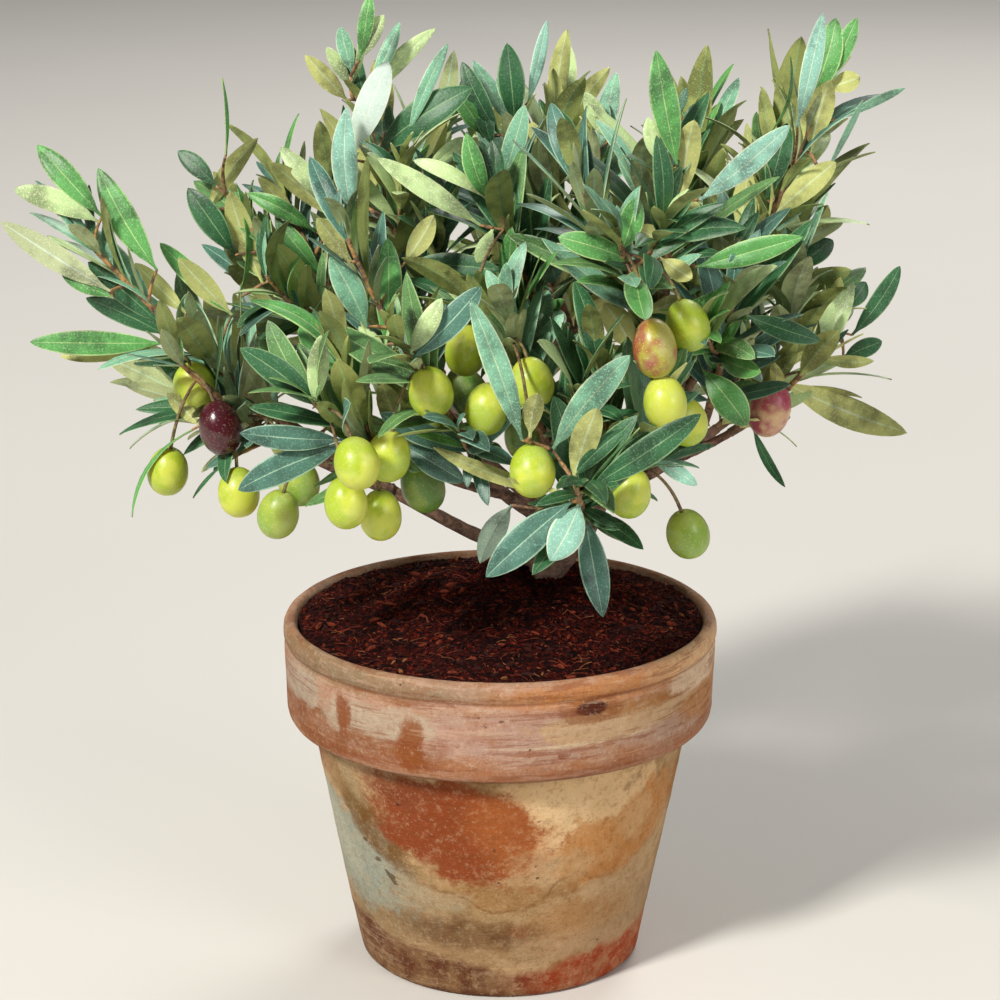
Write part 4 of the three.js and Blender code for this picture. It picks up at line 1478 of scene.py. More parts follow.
    def _fit_side(self, mass: Mass, bud: Bud) -> Shoot | None:
        """Grows a side shoot where there is room for it.

        Args:
            mass: the mass.
            bud: where it may grow, with the turn of its node's leaves.

        Returns:
            The side shoot, or None where there is no room.
        """
        shoot, share, turn, chance, node, scale = bud
        point, way = shoot.point(share), shoot.way(share)
        for _ in range(self.side_tries):
            out = out_of(way, turn + (0 if chance() < 0.5 else math.pi) + math.pi / 4)
            length = self.side_length * (1 - 0.35 * share) * (0.85 + 0.3 * chance()) * scale
            away = leaving(way, out, self.side_angle + chance.scatter(20), 0.1)
            tip = point + away * (length * 0.9) + UP * (length * 0.3)
            curve = Curve(point, point + away * (length / 2), tip)
            side = Shoot(curve, 0, self.side_radius, 1, node, dealt_tone(node))
            corners, faces = tube(curve.points(0.05, 1, 3), np.full(3, self.side_radius), 3)
            polygons = as_lists(faces)
            if self._has_room(mass, bud, corners, polygons):
                self.crowd.add(corners, polygons, node, side.seed)
                return side
        return None


@dataclass
class Foliage:
    """The leaves of every mass: closed blades with a raised midrib and turned-down edges.

    Taper and blunt are the powers of the outline towards the root and the tip. The thickness, the
    widths, the keel and the groove are millimetres, twist is radians and the rest are shares.
    """

    growth: Growth
    stations: int = 14
    thickness: float = 0.5
    petiole: float = 0.05
    petiole_width: float = 1.2
    tip_width: float = 0.24
    taper: float = 0.86
    blunt: float = 0.72
    fold: float = 0.24
    curl: float = 0.3
    twist: float = 1.1
    arch: float = 0.16
    sway: float = 0.09
    keel: float = 0.35
    groove: float = 0.08

    def make(self) -> None:
        """Makes the leaves of each mass as one piece, which replaces its solid."""
        materials = [LeafFinish(tone, side).material() for tone in Tone for side in Side]
        quads, slots = self._template()
        for name, mass in self.growth.masses.items():
            corners = self._blades(mass.leaves)
            starts = np.arange(len(corners))[:, None, None] * corners.shape[1]
            tones = np.array([list(Tone).index(leaf.tone) for leaf in mass.leaves]) * len(Side)
            faces = (quads[None] + starts).reshape(-1, 4)
            ends = end_faces(self.stations, len(self._ring()))
            ends = [(rows[None] + starts).reshape(len(corners), -1) for rows in ends]
            each = (slots[None] + tones[:, None]).ravel()
            under = tones + Side.UNDER.value
            buffers = Buffers()
            buffers.add(corners.reshape(-1, 3), [faces, *ends], [each, under, under])
            piece = buffers.piece(f"{name}_leaves", materials, 65)
            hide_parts(f"{name}_foliage")

    @staticmethod
    def _ring() -> np.ndarray:
        """The places round a leaf's section.

        Returns:
            For each, its share of the half-width, and 1 above or -1 below.
        """
        above = [(v, 1) for v in (-1, -0.9, -0.5, -0.04, 0.04, 0.5, 0.9, 1)]
        below = [(v, -1) for v in (0.5, 0.08, -0.08, -0.5)]
        return np.array(above + below, float)

    def _template(self) -> tuple[np.ndarray, np.ndarray]:
        """The skin of one leaf between its stations.

        Returns:
            Its faces, and the side of the leaf that each is. The margins and midribs are ribs.
        """
        quads = ring_faces(self.stations, len(self._ring()))
        strip = np.array([Side.UPPER.value] * 7 + [Side.UNDER.value] * 5)
        strip[[0, 3, 6, 9]] = Side.RIB.value
        return quads, np.tile(strip, self.stations - 1)

    def _blades(self, leaves: Sequence[Leaf]) -> np.ndarray:
        """The corners of every leaf.

        Args:
            leaves: the leaves.

        Returns:
            Their corners: leaves by corners by three.
        """
        root = self._column([leaf.root for leaf in leaves])
        way = self._column([leaf.way for leaf in leaves])
        face = self._column([leaf.face for leaf in leaves])
        long = self._column([leaf.length for leaf in leaves])
        broad = self._column([leaf.broad for leaf in leaves])
        draws = np.array([self._draws(leaf) for leaf in leaves])
        arch, sway, twist, cup = (self._column(draws[:, k]) for k in range(4))
        across = np.cross(way, face)
        even = np.linspace(0, 1, self.stations)
        s = (0.35 * even + 0.65 * (0.5 - 0.5 * np.cos(np.pi * even)))[None, :, None]
        v, upper = self._ring()[None, None, :, 0], self._ring()[None, None, :, 1]
        blade = np.clip((s - self.petiole) / (1 - self.petiole), 0, 1)
        taper, blunt = self.taper + 0.2 * (arch - 0.5), self.blunt + 0.16 * (cup - 0.5)
        peak = taper / (taper + blunt)
        outline = (blade / peak) ** taper * ((1 - blade) / (1 - peak)) ** blunt
        least = np.where(blade > 0.5, self.tip_width / 2, self.petiole_width / 2)
        half = np.maximum(long * broad / 2 * outline, least)
        turn = (twist - 0.5) * self.twist * (s - 0.2)
        flat = across * np.cos(turn)[..., None] + face * np.sin(turn)[..., None]
        square = face * np.cos(turn)[..., None] - across * np.sin(turn)[..., None]
        edge = np.abs(v)
        lift = half * (self.fold * (cup - 0.15) * 2 * edge - self.curl * cup * edge**4)
        thick = self.thickness / 2 * (1 - 0.75 * edge**3) * np.ones_like(s)
        keel = np.where((upper < 0) & (edge < 0.2), self.keel * (1 - 0.6 * s), 0)
        groove = np.where((upper > 0) & (edge < 0.2), self.groove, 0)
        height = lift + upper * thick - keel - groove
        hump = 4 * s * (1 - s)
        middle = (
            root
            + way * (long * s)[..., None]
            + face * (long * (self.growth.leaf_bend + (arch - 0.45) * self.arch) * hump)[..., None]
            + across * (long * (sway - 0.5) * self.sway * hump)[..., None]
        )
        corners = middle + flat * (half * v)[..., None] + square * height[..., None]
        return corners.reshape(len(leaves), -1, 3)

    @staticmethod
    def _column(values: Sequence[Any] | np.ndarray) -> np.ndarray:
        """One value or vector for each leaf, the same at all its stations and corners."""
        return np.array(values)[:, None, None]

    @staticmethod
    def _draws(leaf: Leaf) -> list[float]:
        """The numbers that give a leaf its arch, sway, twist and cup."""
        chance = Stream(leaf.chance * 3 + 1)
        return [chance() for _ in range(4)]


@dataclass
class Wood:
    """The trunk, the boughs and the twigs. Radii are for the root and the tip of each."""

    growth: Growth
    foot: Vector = field(default_factory=lambda: Vector((18, 22, 157.3)))
    bend: Vector = field(default_factory=lambda: Vector((42, 12, 179)))
    top: Vector = field(default_factory=lambda: Vector((47, 2, 219)))
    trunk_radii: tuple[float, float] = (6.2, 3.4)
    trunk_sides: int = 36
    trunk_rings: int = 60
    bark_depth: float = 0.03
    flare: float = 3.2
    flare_share: float = 0.23
    bough_radii: tuple[float, float] = (3.0, 2.1)
    limb_radii: tuple[float, float] = (2.1, 1.6)
    bough_sides: int = 14
    bough_rings: int = 34
    collar: float = 0.9
    lap: float = 0.02
    thickest_twig: float = 1.9
    twig_tips: tuple[float, ...] = (0.9, 0.7, 0.45)
    swelling: float = 0.16

    def trunk_line(self) -> Curve:
        """The trunk's line."""
        return Curve(self.foot, self.bend, self.top)

    def make(self) -> None:
        """Makes the trunk, the boughs and the twigs of each mass."""
        bark = WoodFinish("bark", 0x86523A, 0x8C6C58).material()
        self._make_trunk(bark)
        self._make_boughs(bark)
        twig = WoodFinish("twig_bark", 0xC2945A, 0x8E6848).material()
        for name, mass in self.growth.masses.items():
            buffers = Buffers()
            for shoot in mass.shoots + mass.laid:
                self._add_twig(buffers, shoot)
            piece = buffers.piece(f"{name}_twigs", [twig])

    @staticmethod
    def _relief(depth: float, fine: float) -> Callable[[np.ndarray], float]:
        """The bark's relief: long ridges that wander round a limb, with knobs.

        Args:
            depth: the height of the ridges, as a share of the radius.
            fine: how many ridges there are to the millimetre.

        Returns:
            A function as tube takes it.
        """

        def stand(corner: np.ndarray) -> float:
            """How far the bark stands out at a corner, as a share of the radius."""
            place = Vector((corner[0] * fine, corner[1] * fine, corner[2] * fine * 0.35))
            ridge = noise.noise(place) + 0.5 * noise.noise(place * 2.3)
            knob = max(0.0, noise.noise(Vector(corner) * 0.11) - 0.25)
            return depth * (ridge + 1.4 * knob)

        return stand

    def _make_trunk(self, bark: bpy.types.Material) -> None:
        """Makes the trunk, which flares at its foot and replaces its solid.

        Args:
            bark: its material.
        """
        shares = np.linspace(0, 1, self.trunk_rings)
        radii = blend(*self.trunk_radii, shares)
        radii = radii + self.flare * np.clip(1 - shares / self.flare_share, 0, 1) ** 2
        path = self.trunk_line().points(0, 1, self.trunk_rings)
        buffers = Buffers()
        bare = radii * (1 - self.bark_depth)
        buffers.add(*tube(path, bare, self.trunk_sides, self._relief(0.09, 0.42)), 0, 1.0)
        piece = buffers.piece("trunk_bark", [bark])
        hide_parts("trunk")

    def _make_boughs(self, bark: bpy.types.Material) -> None:
        """Makes every bough and limb up to where its twig takes over, in one piece.

        Args:
            bark: their material.
        """
        buffers = Buffers()
        shares = np.linspace(0, 1, self.bough_rings)
        age = np.repeat(1 - 0.5 * shares, self.bough_sides)
        for name, line in LINES.items():
            ends = self.bough_radii if line.parent == "trunk" else self.limb_radii
            radii = blend(*ends, shares) + self.collar * np.exp(-shares * 14)
            path = self.growth.curves[name].points(0, line.bare + self.lap, self.bough_rings)
            corners, faces = tube(path, radii, self.bough_sides, self._relief(0.12, 0.7))
            buffers.add(corners, faces, 0, age)
        piece = buffers.piece("bough_bark", [bark])
        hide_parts(*(f"{name}_bough" for name in LINES))

    def _add_twig(self, buffers: Buffers, shoot: Shoot) -> None:
        """Adds a twig, a little thicker at its nodes.

        Args:
            buffers: the twigs of the mass.
            shoot: the shoot.
        """
        is_stem = shoot.rank == 0
        nodes = self.growth.nodes_of(shoot)
        rings = 8 * nodes if shoot.rank < 2 else 10
        sides = 8 if is_stem else 6
        shares = np.linspace(0, 1, rings)
        radii = blend(min(shoot.radius, self.thickest_twig), self.twig_tips[shoot.rank], shares)
        where = [self.growth.share_of(shoot, i, nodes) for i in range(1, nodes + 1)]
        swell = sum(np.exp(-(((shares - at) * nodes * 5) ** 2)) for at in where)
        path = shoot.curve.points(shoot.start - 0.004 * is_stem, 1, rings)
        age = np.repeat((1 - shares) * (0.9 if is_stem else 0.35), sides)
        buffers.add(*tube(path, radii * (1 + self.swelling * swell), sides), 0, age)


@dataclass
class Fruit:
    """The olives and the stalks by which they hang."""

    growth: Growth
    radius: float = 8.8
    half_length: float = 11.2
    round_share: float = 0.9
    dimple: float = 0.8
    hangs_from: float = 30
    rings: int = 20
    sides: int = 28
    stalk_radii: tuple[float, float] = (0.55, 0.75)
    stalk_rings: int = 14
    stalk_sides: int = 7
    stalk_depth: float = 2

    def make(self) -> None:
        """Makes the olives and the stalks of each mass."""
        skins = [OliveFinish(ripeness).material() for ripeness in Ripeness]
        stalk = WoodFinish("stalk", 0x8E8A4A, 0x86653C).material()
        for name, olives in FRUIT.items():
            stem = self.growth.masses[name].stem
            fruit, stalks = Buffers(), Buffers()
            for x, y, z, ripeness in olives:
                self._add_olive(fruit, stalks, stem, Vector((x, y, z)), ripeness)
            fruit.piece(f"{name}_olives", skins)
            piece = stalks.piece(f"{name}_stalks", [stalk])

    def _add_olive(
        self, fruit: Buffers, stalks: Buffers, stem: Shoot, middle: Vector, ripeness: Ripeness
    ) -> None:
        """Adds an olive and its stalk.

        Args:
            fruit: the olives of the mass.
            stalks: the stalks of the mass.
            stem: the stem that it hangs from.
            middle: the olive's middle.
            ripeness: how ripe it is.
        """
        spot = middle + UP * self.hangs_from
        holds = [stem.curve.point(blend(stem.start, 0.97, i / 40)) for i in range(41)]
        root = min(holds, key=lambda hold: (hold - spot).length)
        up = ((root - middle).normalized() * 0.45 + UP * 0.55).normalized()
        chance = Stream(round(abs(middle.x * 7 + middle.y * 13 + middle.z * 3)))
        is_round = ripeness in (Ripeness.LIME, Ripeness.GREEN)
        half = self.half_length * (self.round_share if is_round else 1)
        girth = self.radius * (0.92 + 0.05 * chance())
        polar = np.linspace(0, math.pi, self.rings + 1)[1:-1]
        path = np.array([middle - up * (half * math.cos(t)) for t in polar])
        radii = girth * np.sin(polar) ** 0.94 * (1 + 0.05 * np.cos(polar))
        corners, faces = tube(path, radii, self.sides)
        poles = np.array([middle - up * half, middle + up * (half - self.dimple)])
        last, ring = len(corners), np.arange(self.sides)
        beside = (ring + 1) % self.sides
        low = np.stack([beside, ring, np.full_like(ring, last)], 1)
        high = last - self.sides + np.stack([ring, beside, np.full_like(ring, self.sides + 1)], 1)
        skin = np.concatenate([corners, poles])
        fruit.add(skin, [faces[0], low, high], list(Ripeness).index(ripeness))
        end = middle + up * (half - self.stalk_depth)
        sag = Vector((chance.scatter(3), chance.scatter(3), 0))
        line = Curve(root, end + up * ((root - end).length * 0.6) + sag, end)
        radii = np.linspace(*self.stalk_radii, self.stalk_rings)
        age = np.repeat(np.linspace(1, 0, self.stalk_rings), self.stalk_sides)
        stalks.add(*tube(line.points(0, 1, self.stalk_rings), radii, self.stalk_sides), 0, age)


# The pot and its compost


class Stain(NamedTuple):
    """A stain on the pot: degrees to the right of the front and millimetres up, with half-sizes."""

    colour: int
    turn: float
    height: float
    wide: float
    tall: float
    share: float = 0.8
    ragged: float = 1.0
    soft: float = 0.3
    patchy: float = 0.3
    lean: float = 0.0


BODY_STAINS = (
    Stain(0xA28A6C, 0, 30, 260, 13, 0.7, 1.0, 0.8, 0.3),
    Stain(0x8A785C, -45, 31, 26, 9, 0.7, 1.3, 0.8),
    Stain(0xBC8C58, 32, 35, 24, 9, 0.7, 1.2, 0.8, 0.4),
    Stain(0x5A3618, -10, 31, 26, 7, 0.8, 1.2, 0.9, 0.4),
    Stain(0xF0D0A4, 25, 85, 29, 20, 0.9, 1.0, 0.4, 0.2, -0.1),
    Stain(0xFAE0B8, 16, 84, 10, 13, 0.6, 1.3, 0.7, 0.4),
    Stain(0xC88C50, 47, 71, 26, 19, 0.9, 1.0, 0.3, 0.2, 0.9),
    Stain(0xD8B88C, 50, 76, 8, 8, 0.7, 1.4, 0.7, 0.5),
    Stain(0x9CAEAA, -80, 60, 51, 27, 0.93, 1.0, 0.4, 0.2, -0.9),
    Stain(0xC8CEC2, -72, 62, 12, 18, 0.6, 1.4, 0.8, 0.5, -0.5),
    Stain(0x96886A, -28, 45, 14, 6, 0.6, 1.3, 0.7, 0.3, -0.9),
    Stain(0x745428, -43, 69, 10, 18, 0.95, 1.1, 0.6, 0.3, -0.8),
    Stain(0x866A42, -58, 90, 14, 13, 0.75, 1.4, 0.6, 0.5, -0.2),
    Stain(0xB4A88C, -53, 92, 5, 10, 0.6, 1.4, 0.7, 0.4, -0.3),
    Stain(0x8C5840, -80, 96, 18, 11, 0.85, 1.1, 0.6),
    Stain(0x966C3A, 2, 50, 22, 7, 0.85, 1.1, 0.6, 0.3),
    Stain(0xB8AC94, -26, 47, 14, 5, 0.7, 1.2, 0.8, 0.3, -0.6),
    Stain(0xD6BE98, 20, 60, 9, 7, 0.6, 1.2, 0.9, 0.4),
    Stain(0xC8AC8C, 50, 46, 13, 11, 0.3, 1.3, 0.9, 0.4),
    Stain(0xCCA680, 28, 26, 18, 4, 0.4, 1.2, 0.9, 0.4),
    Stain(0xB89C70, -8, 60, 26, 22, 0.4, 1.4, 0.4, 0.5, -0.2),
    Stain(0x904420, -15.5, 78, 27, 25.5, 0.97, 0.8, 0.32, 0.0, -0.45),
    Stain(0xBC723E, 4, 74, 12, 18, 0.6, 1.0, 1.0, 0.2, -0.3),
    Stain(0x84442A, -33, 96, 14, 9, 0.85, 1.0, 0.8, 0.2),
    Stain(0x9E6C3C, 84, 82, 14, 22, 0.8, 1.1, 0.7, 0.3),
    Stain(0x8A5228, 7, 33, 4, 4, 0.6, 1.2, 0.6),
    Stain(0xC0A080, 38, 22, 28, 3.5, 0.7, 1.2, 0.5, 0.3),
    Stain(0x5A4024, -50.5, 66.5, 1.6, 1.4, 0.8, 1.0),
    Stain(0x5A4426, -45, 57, 2.0, 1.9, 0.8, 1.2),
    Stain(0x4C4026, -40, 50, 1.4, 4.2, 0.85, 1.1, 0.3, 0.2, -0.5),
    Stain(0x9A5632, 128, 66, 26, 24, 0.85, 1.3, 0.5, 0.2, 0.4),
    Stain(0xA4A698, -146, 58, 26, 26, 0.7, 1.5, 0.7, 0.4, -0.3),
)
BAND_STAINS = (
    Stain(0xA2643A, 0, 109, 400, 5, 0.6, 1.2, 0.8, 0.4),
    Stain(0xCC8A4C, 30, 141, 34, 5, 0.8, 1.2, 0.8, 0.4),
    Stain(0x7E7458, -48, 142, 42, 6, 0.85, 1.2, 0.8, 0.4),
    Stain(0xF0CCA2, 66, 142, 22, 6, 0.9, 1.2, 0.8, 0.4),
    Stain(0x824A20, -60, 117, 40, 11, 0.85, 1.2, 0.7, 0.4),
    Stain(0xBCA2A2, 2, 125, 24, 9, 0.5, 1.3, 0.9, 0.4),
    Stain(0xB6B0A6, -67, 129, 15, 8, 0.85, 1.3, 0.4, 0.25, 0.4),
    Stain(0xC2B8AA, -36, 126, 18, 7.5, 0.85, 1.4, 0.4, 0.3, 0.3),
    Stain(0x8A4818, -44, 126, 3, 9, 0.9, 1.2, 0.5, 0.2),
    Stain(0x8E4E1E, -24, 119, 3.4, 10, 0.9, 1.2, 0.5, 0.2),
    Stain(0xC08A50, 68, 126, 18, 10, 0.75, 1.1, 0.6),
    Stain(0xCDB28E, 32, 127, 28, 6.5, 0.85, 1.3, 0.35, 0.25, 0.6),
    Stain(0xE2D2B8, 22, 120.3, 22, 0.8, 0.7, 1.0, 0.6, 0.5, 2),
    Stain(0xA46C2E, 46, 132.5, 18, 3.2, 0.8, 1.4, 0.6, 0.4),
    Stain(0xF2DEC8, 66, 134, 18, 5, 0.95, 1.3, 0.5, 0.4),
    Stain(0x8A4E22, 22.4, 133.8, 8, 4.8, 0.7, 1.2, 0.6, 0.3),
    Stain(0x4A1C12, 22.4, 134.9, 4.2, 2.6, 0.95, 0.8, 0.4, 0.0),
    Stain(0x8A5438, 16, 116, 1.4, 1.4, 0.7, 0.9, 0.4, 0.0),
    Stain(0x5A3A30, 0.5, 132, 0.9, 0.6, 0.7, 0.8, 0.4, 0.0),
    Stain(0xC6AA8A, 138, 126, 28, 8, 0.8, 1.4, 0.3, 0.3),
    Stain(0xC4BEC0, -138, 124, 20, 8, 0.8, 1.6, 0.4, 0.3),
)


class Clay:
    """The noises and measures that the parts of the pot's finish share."""

    def __init__(self, book: Book) -> None:
        """Adds their nodes.

        Args:
            book: the material's tree.
        """
        self.book = book
        self.x, self.y, self.z = (
            book.node("ShaderNodeSeparateXYZ", None, {0: book.place()}, axis) for axis in "XYZ"
        )
        self.clouds = book.noise(26, 7, 0.68)
        self.mottle = book.noise(90, 6, 0.72)
        self.fine = book.noise(240, 6, 0.75)
        self.specks = book.noise(420, 5, 0.8)
        self.grit = book.noise(700, 5, 0.75)
        self.streaks = book.noise(42, 6, 0.7, book.place((1, 1, 6)))
        self.lines = book.noise(30, 6, 0.7, book.place((1, 1, 12)))
        wander = self.clouds - 0.5
        self.turn = (self.x + wander * 0.016).maths("ARCTAN2", self.y * -1) * math.degrees(1)
        self.true_height = self.z * 1000
        self.height = (self.z + (book.noise(48, 4, 0.6) - 0.5) * 0.016) * 1000
        self.edge = wander * 3.2 + (self.mottle - 0.5) * 2.4 + (self.grit - 0.5) * 0.8
        self.veil = self.mottle.between(0.38, 0.6)

    def washed(self, colour: Any, share: Any, wash: int) -> Socket:
        """A colour with a share of another over it."""
        return self.book.mix(share, colour, paint(wash))

    def stained(self, colour: Any, stain: Stain, height: Socket) -> Socket:
        """A colour with a stain over it.

        Args:
            colour: the colour below.
            stain: the stain.
            height: the millimetres up.

        Returns:
            The colour.
        """
        up = height - stain.height
        along = (self.turn - stain.turn - up * stain.lean) / stain.wide
        up = up / stain.tall
        away = along**2 + up**2 + self.edge * stain.ragged
        share = away.between(1 + stain.soft, 1 - stain.soft) * stain.share
        if stain.patchy:
            share = share * (self.veil * stain.patchy + (1 - stain.patchy))
        return self.washed(colour, share, stain.colour)


@dataclass(frozen=True)
class TerracottaFinish:
    """Old terracotta: bare orange clay, pink and cream lime bloom, a tide line, dark pits, and painted
    shade under the band and along its groove.

    Heights are millimetres above the ground.
    """

    tide: float = 43.5
    foot: float = 14
    band_from: tuple[float, float] = (104.4, 105)
    shadow: float = 104
    groove: float = 138.5
    aged: int = 0xEEE4D6

    def material(self) -> bpy.types.Material:
        """Makes the material.

        Returns:
            The material.
        """
        book = Book("terracotta")
        clay = Clay(book)
        low, high = (height / 1000 for height in self.band_from)
        colour = book.mix(clay.z.between(low, high), self._body(clay), self._band(clay))
        colour = book.mix(1.0, colour, paint(self.aged), "MULTIPLY")
        # Painted shadow: a dark line just under the band's overhang.
        under = (clay.true_height - self.shadow).maths("ABSOLUTE").between(2.6, 0.6)
        colour = clay.washed(colour, under * 0.85, 0x2E180F)
        pits = (book.cells(150) + clay.mottle * 0.3).between(0.26, 0.19) * clay.clouds.between(0.54, 0.6)
        colour = clay.washed(colour, pits * 0.6, 0x4A2A1C)
        colour = clay.washed(colour, clay.grit.between(0.58, 0.72) * 0.3, 0xD4C4AE)
        colour = clay.washed(colour, clay.grit.between(0.44, 0.3) * 0.4, 0x6A3824)
        relief = clay.mottle * 0.8 + clay.grit * 0.4 + clay.lines * 0.5 - pits * 0.9
        return book.finish(colour, 0.76 + 0.2 * clay.mottle, relief, 0.0011, Specular_IOR_Level=0.15)

    def _body(self, clay: Clay) -> Socket:
        """The colour of the tapered body, with its tide line and damp foot.

        Args:
            clay: the finish's noises and measures.

        Returns:
            The colour.
        """
        turn, mottle, fine, specks = clay.turn, clay.mottle, clay.fine, clay.specks
        body = clay.book.mix(clay.clouds.between(0.42, 0.58), paint(0xAA8C64), paint(0xC8AC88))
        body = clay.washed(body, mottle.between(0.5, 0.7) * 0.5, 0x8E6E46)
        for stain in BODY_STAINS:
            body = clay.stained(body, stain, clay.height)
        rise = turn.between(9, 23) * 12.5 - turn.between(25, 60) * 7 + turn.between(-5, -22) * 7.5
        tide = (clay.height - self.tide - rise).maths("ABSOLUTE").between(1.5, 0.0)
        tide = tide * (turn - 6).maths("ABSOLUTE").between(44, 18) * mottle.between(0.36, 0.52)
        body = clay.washed(body, tide * 0.6, 0x7E5228)
        side = clay.x * 15.5
        edge = turn.maths("ABSOLUTE").maths("MINIMUM", 90) * 0.13 - side * 3 + self.foot
        share = (clay.height - edge + clay.edge * 1.5).between(2.5, -2.5)
        foot = clay.book.mix(side.between(-0.1, 0.5), paint(0x623A28), paint(0xA8421E))
        foot = clay.washed(foot, clay.lines.between(0.5, 0.6) * side.between(0.24, -0.5) * 0.6, 0xA88E7A)
        body = clay.book.mix(share * (0.6 + 0.4 * clay.veil), body, foot)
        body = clay.washed(body, fine.between(0.53, 0.62) * 0.24, 0xD8BE9E)
        body = clay.washed(body, fine.between(0.46, 0.38) * 0.3, 0x84562E)
        body = clay.washed(body, specks.between(0.54, 0.64) * 0.35, 0x8A5228)
        return clay.washed(body, specks.between(0.45, 0.36) * 0.2, 0xE0CCA8)

    def _band(self, clay: Clay) -> Socket:
        """The colour of the thick band and the rim.

        Args:
            clay: the finish's noises and measures.

        Returns:
            The colour.
        """
        mottle, fine, specks, lines = clay.mottle, clay.fine, clay.specks, clay.lines
        band = clay.book.mix(clay.streaks.between(0.38, 0.6), paint(0xB4866A), paint(0xBA9C8E))
        band = clay.washed(band, mottle.between(0.46, 0.66) * 0.6, 0xC2A494)
        band = clay.washed(band, mottle.between(0.46, 0.32) * 0.6, 0xA8663C)
        band = clay.washed(band, fine.between(0.54, 0.62) * 0.4, 0xD6C2B2)
        height = clay.true_height + (mottle - 0.5) * 2
        for stain in BAND_STAINS:
            band = clay.stained(band, stain, height)
        band = clay.washed(band, specks.between(0.54, 0.64) * 0.35, 0x94522A)
        band = clay.washed(band, specks.between(0.45, 0.36) * 0.3, 0xDCCABC)
        # Painted shade: darker along the groove near the rim.
        groove = (clay.true_height - self.groove).maths("ABSOLUTE").between(1.1, 0.0)
        band = clay.washed(band, groove * 0.5, 0x744432)
        band = clay.washed(band, lines.between(0.47, 0.4) * 0.5, 0x8A4E34)
        return clay.washed(band, lines.between(0.56, 0.64) * 0.4, 0xD2B8A4)


@dataclass
class Pot:
    """The thrown pot: a tapered body and a thick band with a rolled rim."""

    profile: tuple[tuple[float, float], ...] = (
        (0, 0), (40, 0), (55, 0), (57.2, 0.4), (58.5, 1.6), (59.2, 3.6), (60.3, 8), (66.6, 40),
        (72.4, 70), (77.6, 97), (78.7, 102.6), (79.6, 104.2), (81.4, 105), (85.2, 105.1),
        (87.2, 105.7), (88.1, 107.2), (88.5, 109.6), (88.8, 120), (89.2, 131), (89.3, 136.4),
        (88.7, 137.6), (88.5, 138.5), (89, 139.6), (89.7, 140.8), (89.8, 142.2), (89.6, 144),
        (88.9, 145.7), (87.6, 146.7), (86.2, 146.9), (85, 146.3), (84.2, 144.6), (83.5, 140),
        (80, 118), (66.8, 66), (52.8, 12.1), (40, 12), (0, 12),
    )  # fmt: skip
    sides: int = 160
    step: float = 2.6

    def make(self) -> None:
        """Makes the pot, which replaces its solid."""
        rows = self._dense()
        angles = np.arange(self.sides) * math.tau / self.sides
        corners = np.array(
            [self._corner(radius, z, angle) for radius, z in rows for angle in angles]
        )
        count = len(rows)
        faces = [ring_faces(count, self.sides), *end_faces(count, self.sides)]
        buffers = Buffers()
        buffers.add(corners, faces)
        piece = buffers.piece("pot_clay", [TerracottaFinish().material()], 50)
        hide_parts("pot")

    def _dense(self) -> list[tuple[float, float]]:
        """Adds points to the profile where they are far apart.

        Returns:
            The profile without its two ends.
        """
        rows = []
        for (r0, z0), (r1, z1) in zip(self.profile, self.profile[1:]):
            parts = max(1, round(math.hypot(r1 - r0, z1 - z0) / self.step))
            rows += [(blend(r0, r1, k / parts), blend(z0, z1, k / parts)) for k in range(parts)]
        return rows[1:]

    @staticmethod
    def _corner(radius: float, z: float, angle: float) -> tuple[float, float, float]:
        """A corner of the wall, with the unevenness of thrown clay.

        Args:
            radius: its radius on a true pot.
            z: its height.
            angle: its angle round the pot.

        Returns:
            The corner.
        """
        x, y = math.cos(angle), math.sin(angle)
        outside = min(1.0, max(0.0, (z - 1) / 6)) * (radius > 58)
        rings = noise.noise(Vector((0, 0, z * 0.55))) * 0.22
        wander = noise.noise(Vector((x * 1.3, y * 1.3, z * 0.02))) * 0.45
        dents = noise.noise(Vector((x * 7, y * 7, z * 0.09))) * 0.16
        uneven = (rings + wander + dents - 0.35) * outside
        return ((radius + uneven) * x, (radius + uneven) * y, z)


@dataclass(frozen=True)
class CompostFinish:
    """Moist coir compost: dark red-brown crumbs with rusty fibre, a painted highlight on the crumbs'
    tops and painted shade in the gaps between them and between clumps.
    """

    def material(self) -> bpy.types.Material:
        """Makes the material.

        Returns:
            The material.
        """
        book = Book("compost")
        crumbs = book.noise(520, 6, 0.75)
        clumps = book.noise(110, 4, 0.6)
        # Red-brown crumbs and near-black gaps; the gaps' near-black is partly painted shade.
        colour = book.mix(crumbs.between(0.42, 0.58), paint(0x0E0203), paint(0x60160D))
        # Bright rust on the crumbs' tops: partly rusty crumbs, partly a painted highlight.
        colour = book.mix(crumbs.between(0.56, 0.64) * 0.8, colour, paint(0xB04620))
        # Painted shade in the hollows between clumps.
        colour = book.mix(clumps.between(0.56, 0.4) * 0.75, colour, paint(0x140406))
        return book.finish(colour, 0.95, crumbs + clumps * 0.6, 0.004, Specular_IOR_Level=0.12)


@dataclass(frozen=True)
class FibreFinish:
    """One colour of coir fibre or bark chip."""

    name: str
    colour: int

    def material(self) -> bpy.types.Material:
        """Makes the material.

        Returns:
            The material.
        """
        book = Book(self.name)
        grain = book.noise(600, 4, 0.6)
        plain = paint(self.colour)
        colour = book.mix(grain.between(0.35, 0.6), dimmed(plain, 0.45), plain)
        return book.finish(colour, 0.85, grain, 0.0003, Specular_IOR_Level=0.25)


